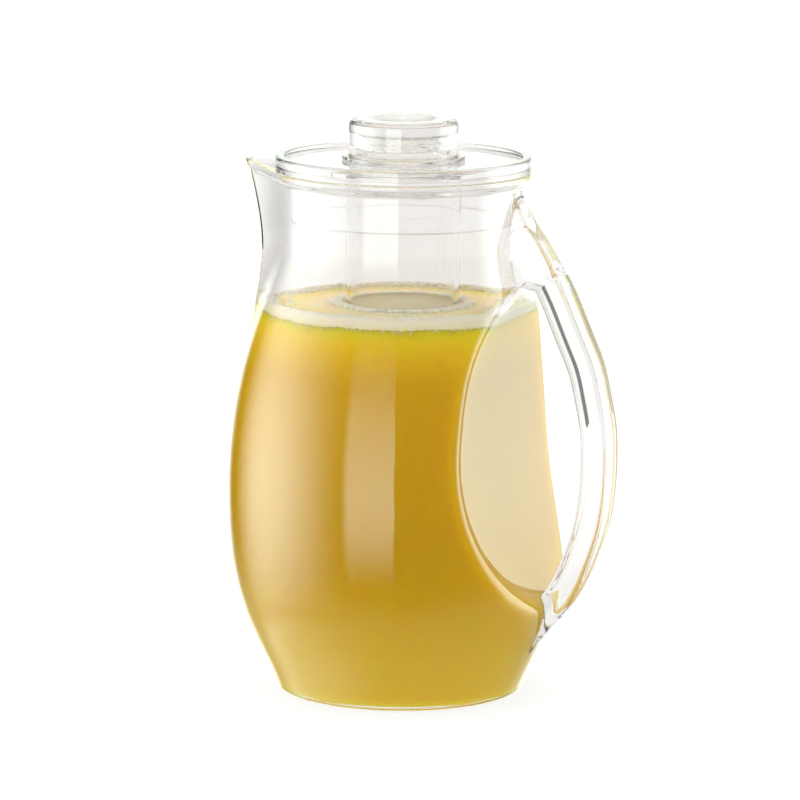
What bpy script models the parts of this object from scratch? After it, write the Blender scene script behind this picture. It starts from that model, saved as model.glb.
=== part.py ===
"""A clear juice jug with a lid, an ice tube that hangs in the juice, and its screw cap.

The jug's axis is Z and the jug stands on z = 0. The handle is at +X and the spout at -X.
Lengths are in metres.
"""
import math

import bmesh
import bpy
import numpy as np

# Jug body
WALL = 0.003
FLOOR_THICKNESS = 0.0025
FOOT_RADIUS = 0.0506
HEEL_RADIUS = 0.0535
HEEL_HEIGHT = 0.002
BELLY_RADIUS = 0.0747
BELLY_HEIGHT = 0.085
NECK_RADIUS = 0.0518
SHOULDER_CLIMB = 0.110
NECK_HEIGHT = BELLY_HEIGHT + SHOULDER_CLIMB
RIM_RADIUS = 0.0523
NECK_LENGTH = 0.0294
RIM_HEIGHT = NECK_HEIGHT + NECK_LENGTH

# Rim bead
BEAD_PROUD = 0.0025
BEAD_HEIGHT = 0.0022
BEAD_CHAMFER = 0.0026

# Spout
SPOUT_REACH = 0.0718
SPOUT_FLARE = 0.0068
SPOUT_THROAT_REACH = SPOUT_REACH - SPOUT_FLARE
SPOUT_THROAT_DEPTH = 0.0344
SPOUT_THROAT_HEIGHT = RIM_HEIGHT - SPOUT_THROAT_DEPTH
SPOUT_DEPTH = 0.1094
SPOUT_START_HEIGHT = RIM_HEIGHT - SPOUT_DEPTH
SPOUT_NOSE_RADIUS = 0.007
SPOUT_RISE = 0.0024

# Handle
HANDLE_REACH = 0.0966
HANDLE_TOP_DEPTH = 0.0059
HANDLE_TOP = RIM_HEIGHT - HANDLE_TOP_DEPTH
HANDLE_BOTTOM = 0.0190
HANDLE_THICKNESS = 0.0125
HANDLE_WIDTH = 0.0200
HANDLE_ROOT_WIDTH = 0.0150
OPENING_TOP_DEPTH = 0.0469
OPENING_TOP = RIM_HEIGHT - OPENING_TOP_DEPTH
OPENING_BOTTOM = 0.0455
BOND_GAP = 0.0003

# Finger recess behind the handle
RECESS_FLOOR = 0.0469
RECESS_WAIST_CLIMB = 0.033
RECESS_WAIST_HEIGHT = BELLY_HEIGHT + RECESS_WAIST_CLIMB
RECESS_LOW_LAP = 0.0008
RECESS_LOW_DROP = RECESS_WAIST_HEIGHT - OPENING_BOTTOM + RECESS_LOW_LAP
RECESS_LOW_RISE = 0.0207
RECESS_HIGH_LAP = 0.0020
RECESS_HIGH_CLIMB = OPENING_TOP - RECESS_HIGH_LAP - RECESS_WAIST_HEIGHT
RECESS_HIGH_RISE = 0.0090
HANDLE_ROOT_REACH = RECESS_FLOOR - WALL

# Lid
SEAT_GAP = 0.0003
LID_RADIUS = 0.0548
LID_HEIGHT = 0.0065
LID_EDGE_ROUND = 0.0009
LID_RING_WIDTH = 0.0042
LID_DISH_DEPTH = 0.0018
LID_DISH_SLOPE = 0.0008
LID_PLATE = 0.0030
SKIRT_CLEARANCE = 0.0006
SKIRT_WALL = 0.0022
SKIRT_DEPTH = 0.0212
SKIRT_LEAD_IN = 0.0008
RIB_HEIGHT = 0.0067
RIB_WIDTH = 0.0024
RIB_PROUD = 0.0006
RIB_COUNT = 4
RIB_START_ANGLE = math.radians(-60)

# Ice tube
TUBE_RADIUS = 0.0246
TUBE_DRAFT = 0.0007
TUBE_WALL = 0.0020
TUBE_FLOOR = 0.0025
TUBE_BOTTOM_ROUND = 0.004
TUBE_BOTTOM_HEIGHT = 0.020
TUBE_CLEARANCE = 0.0003
FLANGE_LAP = 0.0018
FLANGE_THICKNESS = 0.0016
TUBE_NECK_RADIUS = 0.0194
TUBE_NECK_WALL = 0.0022
TUBE_NECK_HEIGHT = 0.0086
THREAD_DEPTH = 0.0009
THREAD_PITCH = 0.0030
THREAD_TURNS = 2
THREAD_START = 0.0014
THREAD_ROOT_HALF = 0.0009
THREAD_CREST_HALF = 0.0003

# Screw cap and its seal
CAP_RADIUS = 0.0235
CAP_HEIGHT = 0.0156
CAP_EDGE_ROUND = 0.0028
CAP_THREAD_CLEARANCE = 0.0004
CAP_DISH_RADIUS = 0.0148
CAP_DISH_FLOOR_RADIUS = 0.0124
CAP_DISH_DEPTH = 0.0020
SEAL_THICKNESS = 0.0012
SEAL_WIDTH = 0.0030

# Juice and foam
FILL_HEIGHT = 0.1655
FOAM_THICKNESS = 0.0032
FILL_GAP = 0.0003

# Overrun of cutters
OVERRUN = 0.02

# Fineness of the round pieces
SKIN_COLUMNS = 56
SPOUT_CROWDING_share = 0.5
RECESS_LOW_STEPS = 14
RECESS_HIGH_STEPS = 12
ROUND_STEPS = 3
SPLINE_STEPS = 12
LATHE_STEPS = 48
THREAD_STEPS_PER_TURN = 24
SECTION_POINTS = 16
HANDLE_STATIONS = 30
CURVE_SAMPLES = 200

# The body's Bezier handles, as shares of the height that each curve climbs
LOW_START_HANDLE_share = 0.27
LOW_END_HANDLE_share = 0.57
LOW_START_SLOPE_share = 0.41
HIGH_START_HANDLE_share = 0.57
HIGH_END_HANDLE_share = 0.16

# Height rings of the skin, as shares of the height from the heel to the neck's end
SKIN_RING_shares = (0.0, 0.03, 0.07, 0.11, 0.155, 0.20, 0.25, 0.305, 0.36, 0.42, 0.48, 0.54,
                    0.595, 0.65, 0.70, 0.75, 0.80, 0.85, 0.90, 0.95, 1.0)

# The outer line of the handle: share of the way from the neck's radius to the handle's reach,
# and share of the way from the handle's bottom to its top
HANDLE_OUTLINE_shares = (
    (0.015, 1.000), (0.160, 0.938), (0.290, 0.898), (0.420, 0.852), (0.560, 0.793),
    (0.720, 0.711), (0.855, 0.640), (0.930, 0.573), (0.985, 0.508), (1.000, 0.455),
    (0.997, 0.400), (0.975, 0.340), (0.925, 0.280), (0.830, 0.214), (0.730, 0.160),
    (0.600, 0.110), (0.410, 0.060), (0.190, 0.000),
)

# Rings between the neck's end and the bead, as shares of the height from there to the rim
RIM_RING_shares = (0.33, 0.62)

# How much of the bead is lost at the spout's nose, as a share of how far it stands out
BEAD_FADE_share = 0.7

# How far the recess's line is drawn past its two ends, as a share of each half's height
RECESS_EXTENT_share = 1.25

# The smallest nose that an inner skin keeps, as a share of the outer nose's radius
NOSE_LEAST_share = 0.3

# The part of the handle's length over which each end widens
HANDLE_WIDENING_share = 0.25

# The part of a turn over which each end of the thread fades, and how far it sinks into the
# neck there, as a share of the thread's depth
THREAD_FADE_share = 1 / 6
THREAD_SINK_share = 0.5

# Powers of the curves: the spout's growth, its flare and its lip's rise, and the recess's halves
SPOUT_THROAT_POWER = 1.35
SPOUT_FLARE_POWER = 1.7
SPOUT_RISE_POWER = 1.3
RECESS_LOW_POWER = 2.2
RECESS_HIGH_POWER = 3.1
SECTION_POWER = 3.2


def clear_scene():
    for item in list(bpy.data.objects):
        bpy.data.objects.remove(item, do_unlink=True)


def make_material(name, colour, roughness, transmission=0.0, metallic=0.0):
    material = bpy.data.materials.new(name)
    material.use_nodes = True
    shader = material.node_tree.nodes["Principled BSDF"]
    shader.inputs["Base Color"].default_value = (*colour, 1.0)
    shader.inputs["Roughness"].default_value = roughness
    shader.inputs["Metallic"].default_value = metallic
    shader.inputs["Transmission Weight"].default_value = transmission
    return material


def make_object(name, mesh, material=None):
    piece = bpy.data.objects.new(name, mesh)
    bpy.context.collection.objects.link(piece)
    if material is not None:
        mesh.materials.append(material)
    return piece


def finish_round(piece, angle=math.radians(35)):
    piece.data.shade_smooth()
    piece.data.set_sharp_from_angle(angle=angle)


def closed_skin(name, rings):
    """A closed mesh through equal rings of points, bottom to top, with a flat face at each end."""
    rings = [np.asarray(ring, float) for ring in rings]
    count = len(rings[0])
    points = np.concatenate(rings)
    faces = []
    for level in range(len(rings) - 1):
        low = level * count
        high = low + count
        for i in range(count):
            j = (i + 1) % count
            faces.append((low + i, low + j, high + j, high + i))
    faces.append(tuple(reversed(range(count))))
    top = (len(rings) - 1) * count
    faces.append(tuple(range(top, top + count)))
    mesh = bpy.data.meshes.new(name)
    mesh.from_pydata(points.tolist(), [], faces)
    mesh.update()
    return mesh


def turned(name, outline, steps=LATHE_STEPS):
    """A closed mesh turned round Z from an outline of (radius, height) points.

    An outline that starts and ends on the axis gives a solid or a cup, and one that stays off
    the axis gives a ring.
    """
    turn = np.arange(steps) * 2 * math.pi / steps
    on_axis = [radius == 0 for radius, _ in outline]
    points = []
    starts = []
    for (radius, height), single in zip(outline, on_axis):
        starts.append(len(points))
        if single:
            points.append((0, 0, height))
        else:
            points.extend(zip(radius * np.cos(turn), radius * np.sin(turn), np.full(steps, height)))
    pairs = [(k, k + 1) for k in range(len(outline) - 1)]
    if not on_axis[0]:
        pairs.append((len(outline) - 1, 0))
    faces = []
    for first, second in pairs:
        for i in range(steps):
            j = (i + 1) % steps
            a, b = starts[first], starts[second]
            if on_axis[first] and on_axis[second]:
                continue
            if on_axis[first]:
                faces.append((a, b + i, b + j))
            elif on_axis[second]:
                faces.append((a + i, b, a + j))
            else:
                faces.append((a + i, b + i, b + j, a + j))
    mesh = bpy.data.meshes.new(name)
    mesh.from_pydata([tuple(map(float, p)) for p in points], [], faces)
    mesh.update()
    return mesh


def face_outwards(mesh):
    work = bmesh.new()
    work.from_mesh(mesh)
    bmesh.ops.recalc_face_normals(work, faces=work.faces)
    work.to_mesh(mesh)
    work.free()


def hide_cutter(piece):
    piece.hide_render = True
    piece.display_type = "WIRE"


def add_boolean(piece, cutter, operation):
    modifier = piece.modifiers.new(operation.title(), "BOOLEAN")
    modifier.object = cutter
    modifier.operation = operation
    modifier.solver = "EXACT"
    hide_cutter(cutter)


def bezier(first, first_handle, second_handle, second):
    t = np.linspace(0, 1, CURVE_SAMPLES)[:, None]
    corners = [np.array(p, float) for p in (first, first_handle, second_handle, second)]
    return (corners[0] * (1 - t) ** 3 + 3 * corners[1] * t * (1 - t) ** 2
            + 3 * corners[2] * t ** 2 * (1 - t) + corners[3] * t ** 3)


def body_line():
    """The body's outer line in (height, radius): heel to belly, belly to neck, neck to rim."""
    low = BELLY_HEIGHT - HEEL_HEIGHT
    start = low * LOW_START_HANDLE_share
    lower = bezier(
        (HEEL_HEIGHT, HEEL_RADIUS),
        (HEEL_HEIGHT + start, HEEL_RADIUS + start * LOW_START_SLOPE_share),
        (BELLY_HEIGHT - low * LOW_END_HANDLE_share, BELLY_RADIUS),
        (BELLY_HEIGHT, BELLY_RADIUS),
    )
    high = NECK_HEIGHT - BELLY_HEIGHT
    upper = bezier(
        (BELLY_HEIGHT, BELLY_RADIUS),
        (BELLY_HEIGHT + high * HIGH_START_HANDLE_share, BELLY_RADIUS),
        (NECK_HEIGHT - high * HIGH_END_HANDLE_share, NECK_RADIUS),
        (NECK_HEIGHT, NECK_RADIUS),
    )
    return np.concatenate([[(0, FOOT_RADIUS)], lower, upper[1:], [(RIM_HEIGHT, RIM_RADIUS)]])


BODY_LINE = body_line()


def body_radius(height):
    return np.interp(height, BODY_LINE[:, 0], BODY_LINE[:, 1])


def smooth_step(value):
    value = np.clip(value, 0, 1)
    return value * value * (3 - 2 * value)


def spout_reach(height):
    """How far the spout's nose lies from the axis: it leaves the belly and flares to the rim."""
    radius = body_radius(height)
    rise = np.clip((height - SPOUT_START_HEIGHT) / (SPOUT_THROAT_HEIGHT - SPOUT_START_HEIGHT), 0, 1)
    rise = rise ** SPOUT_THROAT_POWER
    throat = radius + (SPOUT_THROAT_REACH - body_radius(SPOUT_THROAT_HEIGHT)) * rise
    above = np.clip((height - SPOUT_THROAT_HEIGHT) / (RIM_HEIGHT - SPOUT_THROAT_HEIGHT), 0, 1)
    flare = SPOUT_FLARE * above ** SPOUT_FLARE_POWER
    return np.where(height > SPOUT_THROAT_HEIGHT, SPOUT_THROAT_REACH + flare, throat)


def section_radius(turn, height, inset):
    """The skin's radius at an angle: a circle joined by two straight tangents to a small nose.

    turn is measured from -X, where the spout points. The tangents and the nose are the outline
    of the circle and the nose stretched round both.
    """
    turn = np.abs((turn + math.pi) % (2 * math.pi) - math.pi)
    circle = body_radius(height) - inset
    nose = max(SPOUT_NOSE_RADIUS - inset, SPOUT_NOSE_RADIUS * NOSE_LEAST_share)
    centre = float(spout_reach(height)) - inset - nose
    if centre + nose <= circle:
        return np.full_like(turn, circle)
    tilt = math.acos(np.clip((circle - nose) / centre, -1, 1))
    nose_end = math.atan2(nose * math.sin(tilt), centre + nose * math.cos(tilt))
    on_nose = centre * np.cos(turn) + np.sqrt(
        np.maximum(nose ** 2 - (centre * np.sin(turn)) ** 2, 0))
    on_tangent_or_circle = circle / np.cos(np.minimum(turn - tilt, 0))
    return np.where(turn < nose_end, on_nose, on_tangent_or_circle)


def skin_turns():
    """Angles from -X, closer together at the spout."""
    even = (np.arange(SKIN_COLUMNS) - SKIN_COLUMNS / 2) * 2 * math.pi / SKIN_COLUMNS
    return even - SPOUT_CROWDING_share * np.sin(even)


def skin_ring(height, inset, lift=0.0, proud=0.0):
    """One ring of the skin. At the rim, lift raises the part that reaches past the lid."""
    turns = skin_turns()
    radius = section_radius(turns, height, inset)
    spout = np.clip((radius + inset - body_radius(height)) / (SPOUT_REACH - RIM_RADIUS), 0, 1)
    radius = radius + proud * (1 - BEAD_FADE_share * spout)
    past = np.clip((radius - LID_RADIUS) / (SPOUT_REACH - LID_RADIUS), 0, 1)
    z = height + lift * past ** SPOUT_RISE_POWER
    return np.stack([-radius * np.cos(turns), -radius * np.sin(turns), z], axis=1)


def ring_heights(low, high):
    span = NECK_HEIGHT - HEEL_HEIGHT
    heights = [HEEL_HEIGHT + share * span for share in SKIN_RING_shares]
    return [h for h in heights if low < h < high]


def rim_rings(inset):
    """Rings between the neck and the rim, rising towards the spout's nose."""
    rings = []
    for share in RIM_RING_shares:
        height = NECK_HEIGHT + share * (RIM_HEIGHT - NECK_HEIGHT)
        rings.append(skin_ring(height, inset, lift=SPOUT_RISE * share ** 2))
    return rings


def outer_mesh(name, inset=0.0):
    """The jug's outer solid up to its rim, whose top face runs in past the jug's wall."""
    rings = [skin_ring(0.0, inset)]
    rings[0][:, 2] = inset
    rings += [skin_ring(height, inset) for height in ring_heights(0, NECK_HEIGHT)]
    rings.append(skin_ring(NECK_HEIGHT, inset))
    rings += rim_rings(inset)
    edge = RIM_HEIGHT - BEAD_HEIGHT
    rings.append(skin_ring(edge - BEAD_CHAMFER, inset, SPOUT_RISE))
    rings.append(skin_ring(edge, inset, SPOUT_RISE, BEAD_PROUD))
    rings.append(skin_ring(RIM_HEIGHT, inset, SPOUT_RISE, BEAD_PROUD))
    rings.append(skin_ring(RIM_HEIGHT, inset + 2 * WALL, SPOUT_RISE))
    return closed_skin(name, rings)


def cavity_mesh(name, inset, floor, top=None):
    """The inside of the jug, from its floor to a level, or out past the rim."""
    levels = [floor] + ring_heights(floor + FLOOR_THICKNESS / 2, top or NECK_HEIGHT)
    rings = [skin_ring(height, inset) for height in levels]
    if top is not None:
        rings.append(skin_ring(top, inset))
        return closed_skin(name, rings)
    rings.append(skin_ring(NECK_HEIGHT, inset))
    rings += rim_rings(inset)
    rings.append(skin_ring(RIM_HEIGHT, inset, SPOUT_RISE))
    last = rings[-1].copy()
    last[:, 2] += OVERRUN
    rings.append(last)
    return closed_skin(name, rings)


def recess_line(depth):
    """The recess in side view, in (x, height), moved inward by depth square to the line."""
    low = np.linspace(-RECESS_LOW_DROP * RECESS_EXTENT_share, 0, RECESS_LOW_STEPS + 1)
    high = np.linspace(0, RECESS_HIGH_CLIMB * RECESS_EXTENT_share, RECESS_HIGH_STEPS + 1)[1:]
    x_low = RECESS_LOW_RISE * (-low / RECESS_LOW_DROP) ** RECESS_LOW_POWER
    x_high = RECESS_HIGH_RISE * (high / RECESS_HIGH_CLIMB) ** RECESS_HIGH_POWER
    line = np.stack([RECESS_FLOOR + np.concatenate([x_low, x_high]),
                     RECESS_WAIST_HEIGHT + np.concatenate([low, high])], axis=1)
    along = np.gradient(line, axis=0)
    along /= np.linalg.norm(along, axis=1)[:, None]
    square = np.stack([along[:, 1], -along[:, 0]], axis=1)
    return line - square * depth


def recess_cutter(name, depth):
    line = recess_line(depth)
    far = HANDLE_REACH + OVERRUN
    outline = [(far, line[0, 1])] + [tuple(p) for p in line] + [(far, line[-1, 1])]
    half = BELLY_RADIUS + OVERRUN
    ends = [[(x, y, z) for x, z in outline] for y in (-half, half)]
    mesh = closed_skin(name, ends)
    face_outwards(mesh)
    return make_object(name, mesh)


def jug_body(material):
    jug = make_object("jug_body", outer_mesh("jug_body"), material)
    face_outwards(jug.data)
    add_boolean(jug, recess_cutter("recess_cut", 0.0), "DIFFERENCE")
    cavity = make_object("cavity_cut", cavity_mesh("cavity_cut", WALL, FLOOR_THICKNESS))
    face_outwards(cavity.data)
    add_boolean(cavity, recess_cutter("recess_inner_cut", WALL), "DIFFERENCE")
    add_boolean(jug, cavity, "DIFFERENCE")
    finish_round(jug)
    return jug


def handle_outline():
    shares = np.array(HANDLE_OUTLINE_shares)
    x = NECK_RADIUS + shares[:, 0] * (HANDLE_REACH - NECK_RADIUS)
    z = HANDLE_BOTTOM + shares[:, 1] * (HANDLE_TOP - HANDLE_BOTTOM)
    return smooth_through(np.stack([x, z], axis=1), HANDLE_STATIONS)


def smooth_through(points, count):
    """Evenly spaced points on a Catmull-Rom curve through the given ones."""
    padded = np.concatenate([[2 * points[0] - points[1]], points, [2 * points[-1] - points[-2]]])
    t = np.linspace(0, 1, SPLINE_STEPS, endpoint=False)[:, None]
    pieces = []
    for a, b, c, d in zip(padded, padded[1:], padded[2:], padded[3:]):
        pieces.append(0.5 * (2 * b + (c - a) * t + (2 * a - 5 * b + 4 * c - d) * t ** 2
                             + (3 * b - a - 3 * c + d) * t ** 3))
    dense = np.concatenate(pieces + [points[-1:]])
    walked = np.concatenate([[0], np.cumsum(np.linalg.norm(np.diff(dense, axis=0), axis=1))])
    even = np.linspace(0, walked[-1], count)
    return np.stack([np.interp(even, walked, dense[:, k]) for k in range(2)], axis=1)


def handle_inner_line(outer):
    """The bar's inner line: a thickness in from the outer line, and inside the jug at the roots."""
    along = np.gradient(outer, axis=0)
    along /= np.linalg.norm(along, axis=1)[:, None]
    inner = outer - np.stack([-along[:, 1], along[:, 0]], axis=1) * HANDLE_THICKNESS
    at_root = (inner[:, 1] > OPENING_TOP) | (inner[:, 1] < OPENING_BOTTOM)
    inner[at_root, 0] = HANDLE_ROOT_REACH
    return inner


def handle(material):
    outer = handle_outline()
    inner = handle_inner_line(outer)
    phase = np.arange(SECTION_POINTS) * 2 * math.pi / SECTION_POINTS
    power = 2 / SECTION_POWER
    across = np.sign(np.cos(phase)) * np.abs(np.cos(phase)) ** power
    sideways = np.sign(np.sin(phase)) * np.abs(np.sin(phase)) ** power
    station = np.linspace(0, 1, len(outer))
    full = smooth_step(station / HANDLE_WIDENING_share)
    full *= smooth_step((1 - station) / HANDLE_WIDENING_share)
    width = HANDLE_ROOT_WIDTH + (HANDLE_WIDTH - HANDLE_ROOT_WIDTH) * full
    rings = []
    for out_point, in_point, wide in zip(outer, inner, width):
        middle = (out_point + in_point) / 2
        arm = (out_point - in_point) / 2
        x = middle[0] + arm[0] * across
        z = middle[1] + arm[1] * across
        rings.append(np.stack([x, wide / 2 * sideways, z], axis=1))
    bar = make_object("handle", closed_skin("handle", rings), material)
    face_outwards(bar.data)
    body = make_object("handle_seat_cut", outer_mesh("handle_seat_cut", inset=-BOND_GAP))
    face_outwards(body.data)
    add_boolean(body, recess_cutter("handle_recess_cut", -BOND_GAP), "DIFFERENCE")
    add_boolean(bar, body, "DIFFERENCE")
    finish_round(bar)
    return bar


LID_UNDERSIDE = RIM_HEIGHT + SEAT_GAP
LID_TOP = LID_UNDERSIDE + LID_HEIGHT
LID_DISH = LID_TOP - LID_DISH_DEPTH
PLATE_UNDERSIDE = LID_DISH - LID_PLATE
SKIRT_RADIUS = NECK_RADIUS - WALL - SKIRT_CLEARANCE
SKIRT_BOTTOM = LID_UNDERSIDE - SKIRT_DEPTH
HOLE_RADIUS = TUBE_RADIUS + TUBE_CLEARANCE


def lid(material):
    ring_inner = LID_RADIUS - LID_RING_WIDTH
    outline = [
        (HOLE_RADIUS, LID_DISH),
        (ring_inner - LID_DISH_SLOPE, LID_DISH),
        (ring_inner, LID_TOP),
        (LID_RADIUS - LID_EDGE_ROUND, LID_TOP),
        (LID_RADIUS, LID_TOP - LID_EDGE_ROUND),
        (LID_RADIUS, LID_UNDERSIDE),
        (SKIRT_RADIUS, LID_UNDERSIDE),
        (SKIRT_RADIUS, SKIRT_BOTTOM + SKIRT_LEAD_IN),
        (SKIRT_RADIUS - SKIRT_LEAD_IN, SKIRT_BOTTOM),
        (SKIRT_RADIUS - SKIRT_WALL, SKIRT_BOTTOM),
        (SKIRT_RADIUS - SKIRT_WALL, PLATE_UNDERSIDE),
        (HOLE_RADIUS, PLATE_UNDERSIDE),
    ]
    disc = make_object("lid", turned("lid", outline), material)
    face_outwards(disc.data)
    for k in range(RIB_COUNT):
        rib = friction_rib(f"rib_{k + 1}", RIB_START_ANGLE + k * 2 * math.pi / RIB_COUNT)
        add_boolean(disc, rib, "UNION")
    finish_round(disc)
    return disc


def friction_rib(name, angle):
    """A small upright rib on the skirt, sunk into its wall and into the lid above it."""
    near = SKIRT_RADIUS - SKIRT_WALL / 2
    far = SKIRT_RADIUS + RIB_PROUD
    half = RIB_WIDTH / 2
    plan = [(near, -half), (far, -half / 2), (far, half / 2), (near, half)]
    turn = np.array([[math.cos(angle), -math.sin(angle)], [math.sin(angle), math.cos(angle)]])
    placed = [turn @ np.array(p) for p in plan]
    low = LID_UNDERSIDE - RIB_HEIGHT
    high = LID_UNDERSIDE + SKIRT_WALL / 2
    rings = [[(x, y, z) for x, y in placed] for z in (low, high)]
    mesh = closed_skin(name, rings)
    face_outwards(mesh)
    return make_object(name, mesh)


FLANGE_UNDERSIDE = LID_DISH + SEAT_GAP
FLANGE_TOP = FLANGE_UNDERSIDE + FLANGE_THICKNESS
TUBE_TOP = FLANGE_TOP + TUBE_NECK_HEIGHT


def quarter_round(centre, radius, start, end):
    turns = np.linspace(start, end, ROUND_STEPS + 1)
    return [(centre[0] + radius * math.cos(a), centre[1] + radius * math.sin(a)) for a in turns]


def ice_tube(material):
    low_radius = TUBE_RADIUS - TUBE_DRAFT
    bottom_round = quarter_round(
        (low_radius - TUBE_BOTTOM_ROUND, TUBE_BOTTOM_HEIGHT + TUBE_BOTTOM_ROUND),
        TUBE_BOTTOM_ROUND, 0, -math.pi / 2)
    inner_floor = TUBE_BOTTOM_HEIGHT + TUBE_FLOOR
    outline = [
        (0, inner_floor),
        (low_radius - TUBE_BOTTOM_ROUND, inner_floor),
        (low_radius - TUBE_WALL, inner_floor + TUBE_WALL),
        (TUBE_RADIUS - TUBE_WALL, FLANGE_UNDERSIDE - TUBE_WALL),
        (TUBE_NECK_RADIUS - TUBE_NECK_WALL, FLANGE_UNDERSIDE + FLANGE_THICKNESS / 2),
        (TUBE_NECK_RADIUS - TUBE_NECK_WALL, TUBE_TOP),
        (TUBE_NECK_RADIUS, TUBE_TOP),
        (TUBE_NECK_RADIUS, FLANGE_TOP),
        (TUBE_RADIUS + FLANGE_LAP, FLANGE_TOP),
        (TUBE_RADIUS + FLANGE_LAP, FLANGE_UNDERSIDE),
        (TUBE_RADIUS, FLANGE_UNDERSIDE),
        (TUBE_RADIUS, PLATE_UNDERSIDE),
        *bottom_round,
        (0, TUBE_BOTTOM_HEIGHT),
    ]
    tube = make_object("ice_tube", turned("ice_tube", outline), material)
    face_outwards(tube.data)
    add_boolean(tube, thread_ridge("thread_ridge"), "UNION")
    finish_round(tube)
    return tube


def thread_ridge(name):
    """A helical ridge with a trapezoid section, sunk into the neck and tapered at both ends."""
    steps = THREAD_STEPS_PER_TURN * THREAD_TURNS
    taper = THREAD_STEPS_PER_TURN * THREAD_FADE_share
    root = TUBE_NECK_RADIUS - TUBE_NECK_WALL / 2
    rings = []
    for i in range(steps + 1):
        turn = 2 * math.pi * (i + 0.5) / THREAD_STEPS_PER_TURN
        fade = min(1.0, i / taper, (steps - i) / taper)
        tip = TUBE_NECK_RADIUS + THREAD_DEPTH * (fade - THREAD_SINK_share * (1 - fade))
        z = FLANGE_TOP + THREAD_START + THREAD_PITCH * i / THREAD_STEPS_PER_TURN
        section = [(root, z - THREAD_ROOT_HALF), (tip, z - THREAD_CREST_HALF),
                   (tip, z + THREAD_CREST_HALF), (root, z + THREAD_ROOT_HALF)]
        rings.append([(r * math.cos(turn), r * math.sin(turn), height) for r, height in section])
    mesh = closed_skin(name, rings)
    face_outwards(mesh)
    return make_object(name, mesh)


CAP_UNDERSIDE = FLANGE_TOP + SEAT_GAP
CAP_TOP = CAP_UNDERSIDE + CAP_HEIGHT
CAP_BORE = TUBE_NECK_RADIUS + THREAD_DEPTH + CAP_THREAD_CLEARANCE
SEAL_UNDERSIDE = TUBE_TOP + SEAT_GAP
CAP_CEILING = SEAL_UNDERSIDE + SEAL_THICKNESS + SEAT_GAP


def cap_seal(material):
    outer = TUBE_NECK_RADIUS
    inner = outer - SEAL_WIDTH
    top = SEAL_UNDERSIDE + SEAL_THICKNESS
    outline = [(inner, top), (outer, top), (outer, SEAL_UNDERSIDE), (inner, SEAL_UNDERSIDE)]
    seal = make_object("cap_seal", turned("cap_seal", outline), material)
    face_outwards(seal.data)
    finish_round(seal)
    return seal


def screw_cap(material):
    edge = quarter_round((CAP_RADIUS - CAP_EDGE_ROUND, CAP_TOP - CAP_EDGE_ROUND),
                         CAP_EDGE_ROUND, math.pi / 2, 0)
    outline = [
        (0, CAP_TOP - CAP_DISH_DEPTH),
        (CAP_DISH_FLOOR_RADIUS, CAP_TOP - CAP_DISH_DEPTH),
        (CAP_DISH_RADIUS, CAP_TOP),
        *edge,
        (CAP_RADIUS, CAP_UNDERSIDE),
        (CAP_BORE, CAP_UNDERSIDE),
        (CAP_BORE, CAP_CEILING),
        (0, CAP_CEILING),
    ]
    cap = make_object("screw_cap", turned("screw_cap", outline), material)
    face_outwards(cap.data)
    finish_round(cap)
    return cap


def tube_well(name, low, high):
    """The room that the ice tube takes up in the juice or in the foam."""
    radius = TUBE_RADIUS + FILL_GAP
    outline = [(0, high), (radius, high), (radius, low), (0, low)]
    well = make_object(name, turned(name, outline))
    face_outwards(well.data)
    return well


def juice(material):
    inset = WALL + FILL_GAP
    mesh = cavity_mesh("juice", inset, FLOOR_THICKNESS + FILL_GAP, top=FILL_HEIGHT)
    filling = make_object("juice", mesh, material)
    face_outwards(filling.data)
    add_boolean(filling, recess_cutter("juice_recess_cut", inset), "DIFFERENCE")
    well = tube_well("juice_well_cut", TUBE_BOTTOM_HEIGHT - FILL_GAP, FILL_HEIGHT + OVERRUN)
    add_boolean(filling, well, "DIFFERENCE")
    finish_round(filling)
    return filling


def juice_foam(material):
    inset = WALL + FILL_GAP
    low = FILL_HEIGHT + FILL_GAP
    rings = [skin_ring(low, inset), skin_ring(low + FOAM_THICKNESS, inset)]
    foam = make_object("juice_foam", closed_skin("juice_foam", rings), material)
    face_outwards(foam.data)
    add_boolean(foam, recess_cutter("foam_recess_cut", inset), "DIFFERENCE")
    well = tube_well("foam_well_cut", low - OVERRUN, low + FOAM_THICKNESS + OVERRUN)
    add_boolean(foam, well, "DIFFERENCE")
    finish_round(foam)
    return foam


def main():
    clear_scene()
    clear = make_material("clear plastic", (0.93, 0.94, 0.93), 0.03, transmission=1.0)
    silicone = make_material("clear silicone", (0.85, 0.86, 0.86), 0.35, transmission=0.6)
    orange = make_material("orange juice", (0.80, 0.52, 0.03), 0.25)
    froth = make_material("juice foam", (0.90, 0.82, 0.58), 0.6)
    jug_body(clear)
    handle(clear)
    lid(clear)
    ice_tube(clear)
    cap_seal(silicone)
    screw_cap(clear)
    juice(orange)
    juice_foam(froth)


main()
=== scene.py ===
"""The looks of a clear juice jug: its plastic, the juice and foam in it, and the light on it.

Every surface is worked out with numpy as a grid of rows and columns round the jug's axis, Z.
The handle is at +X and the spout at -X. Lengths are in metres and angles in radians.
"""
import math

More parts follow.
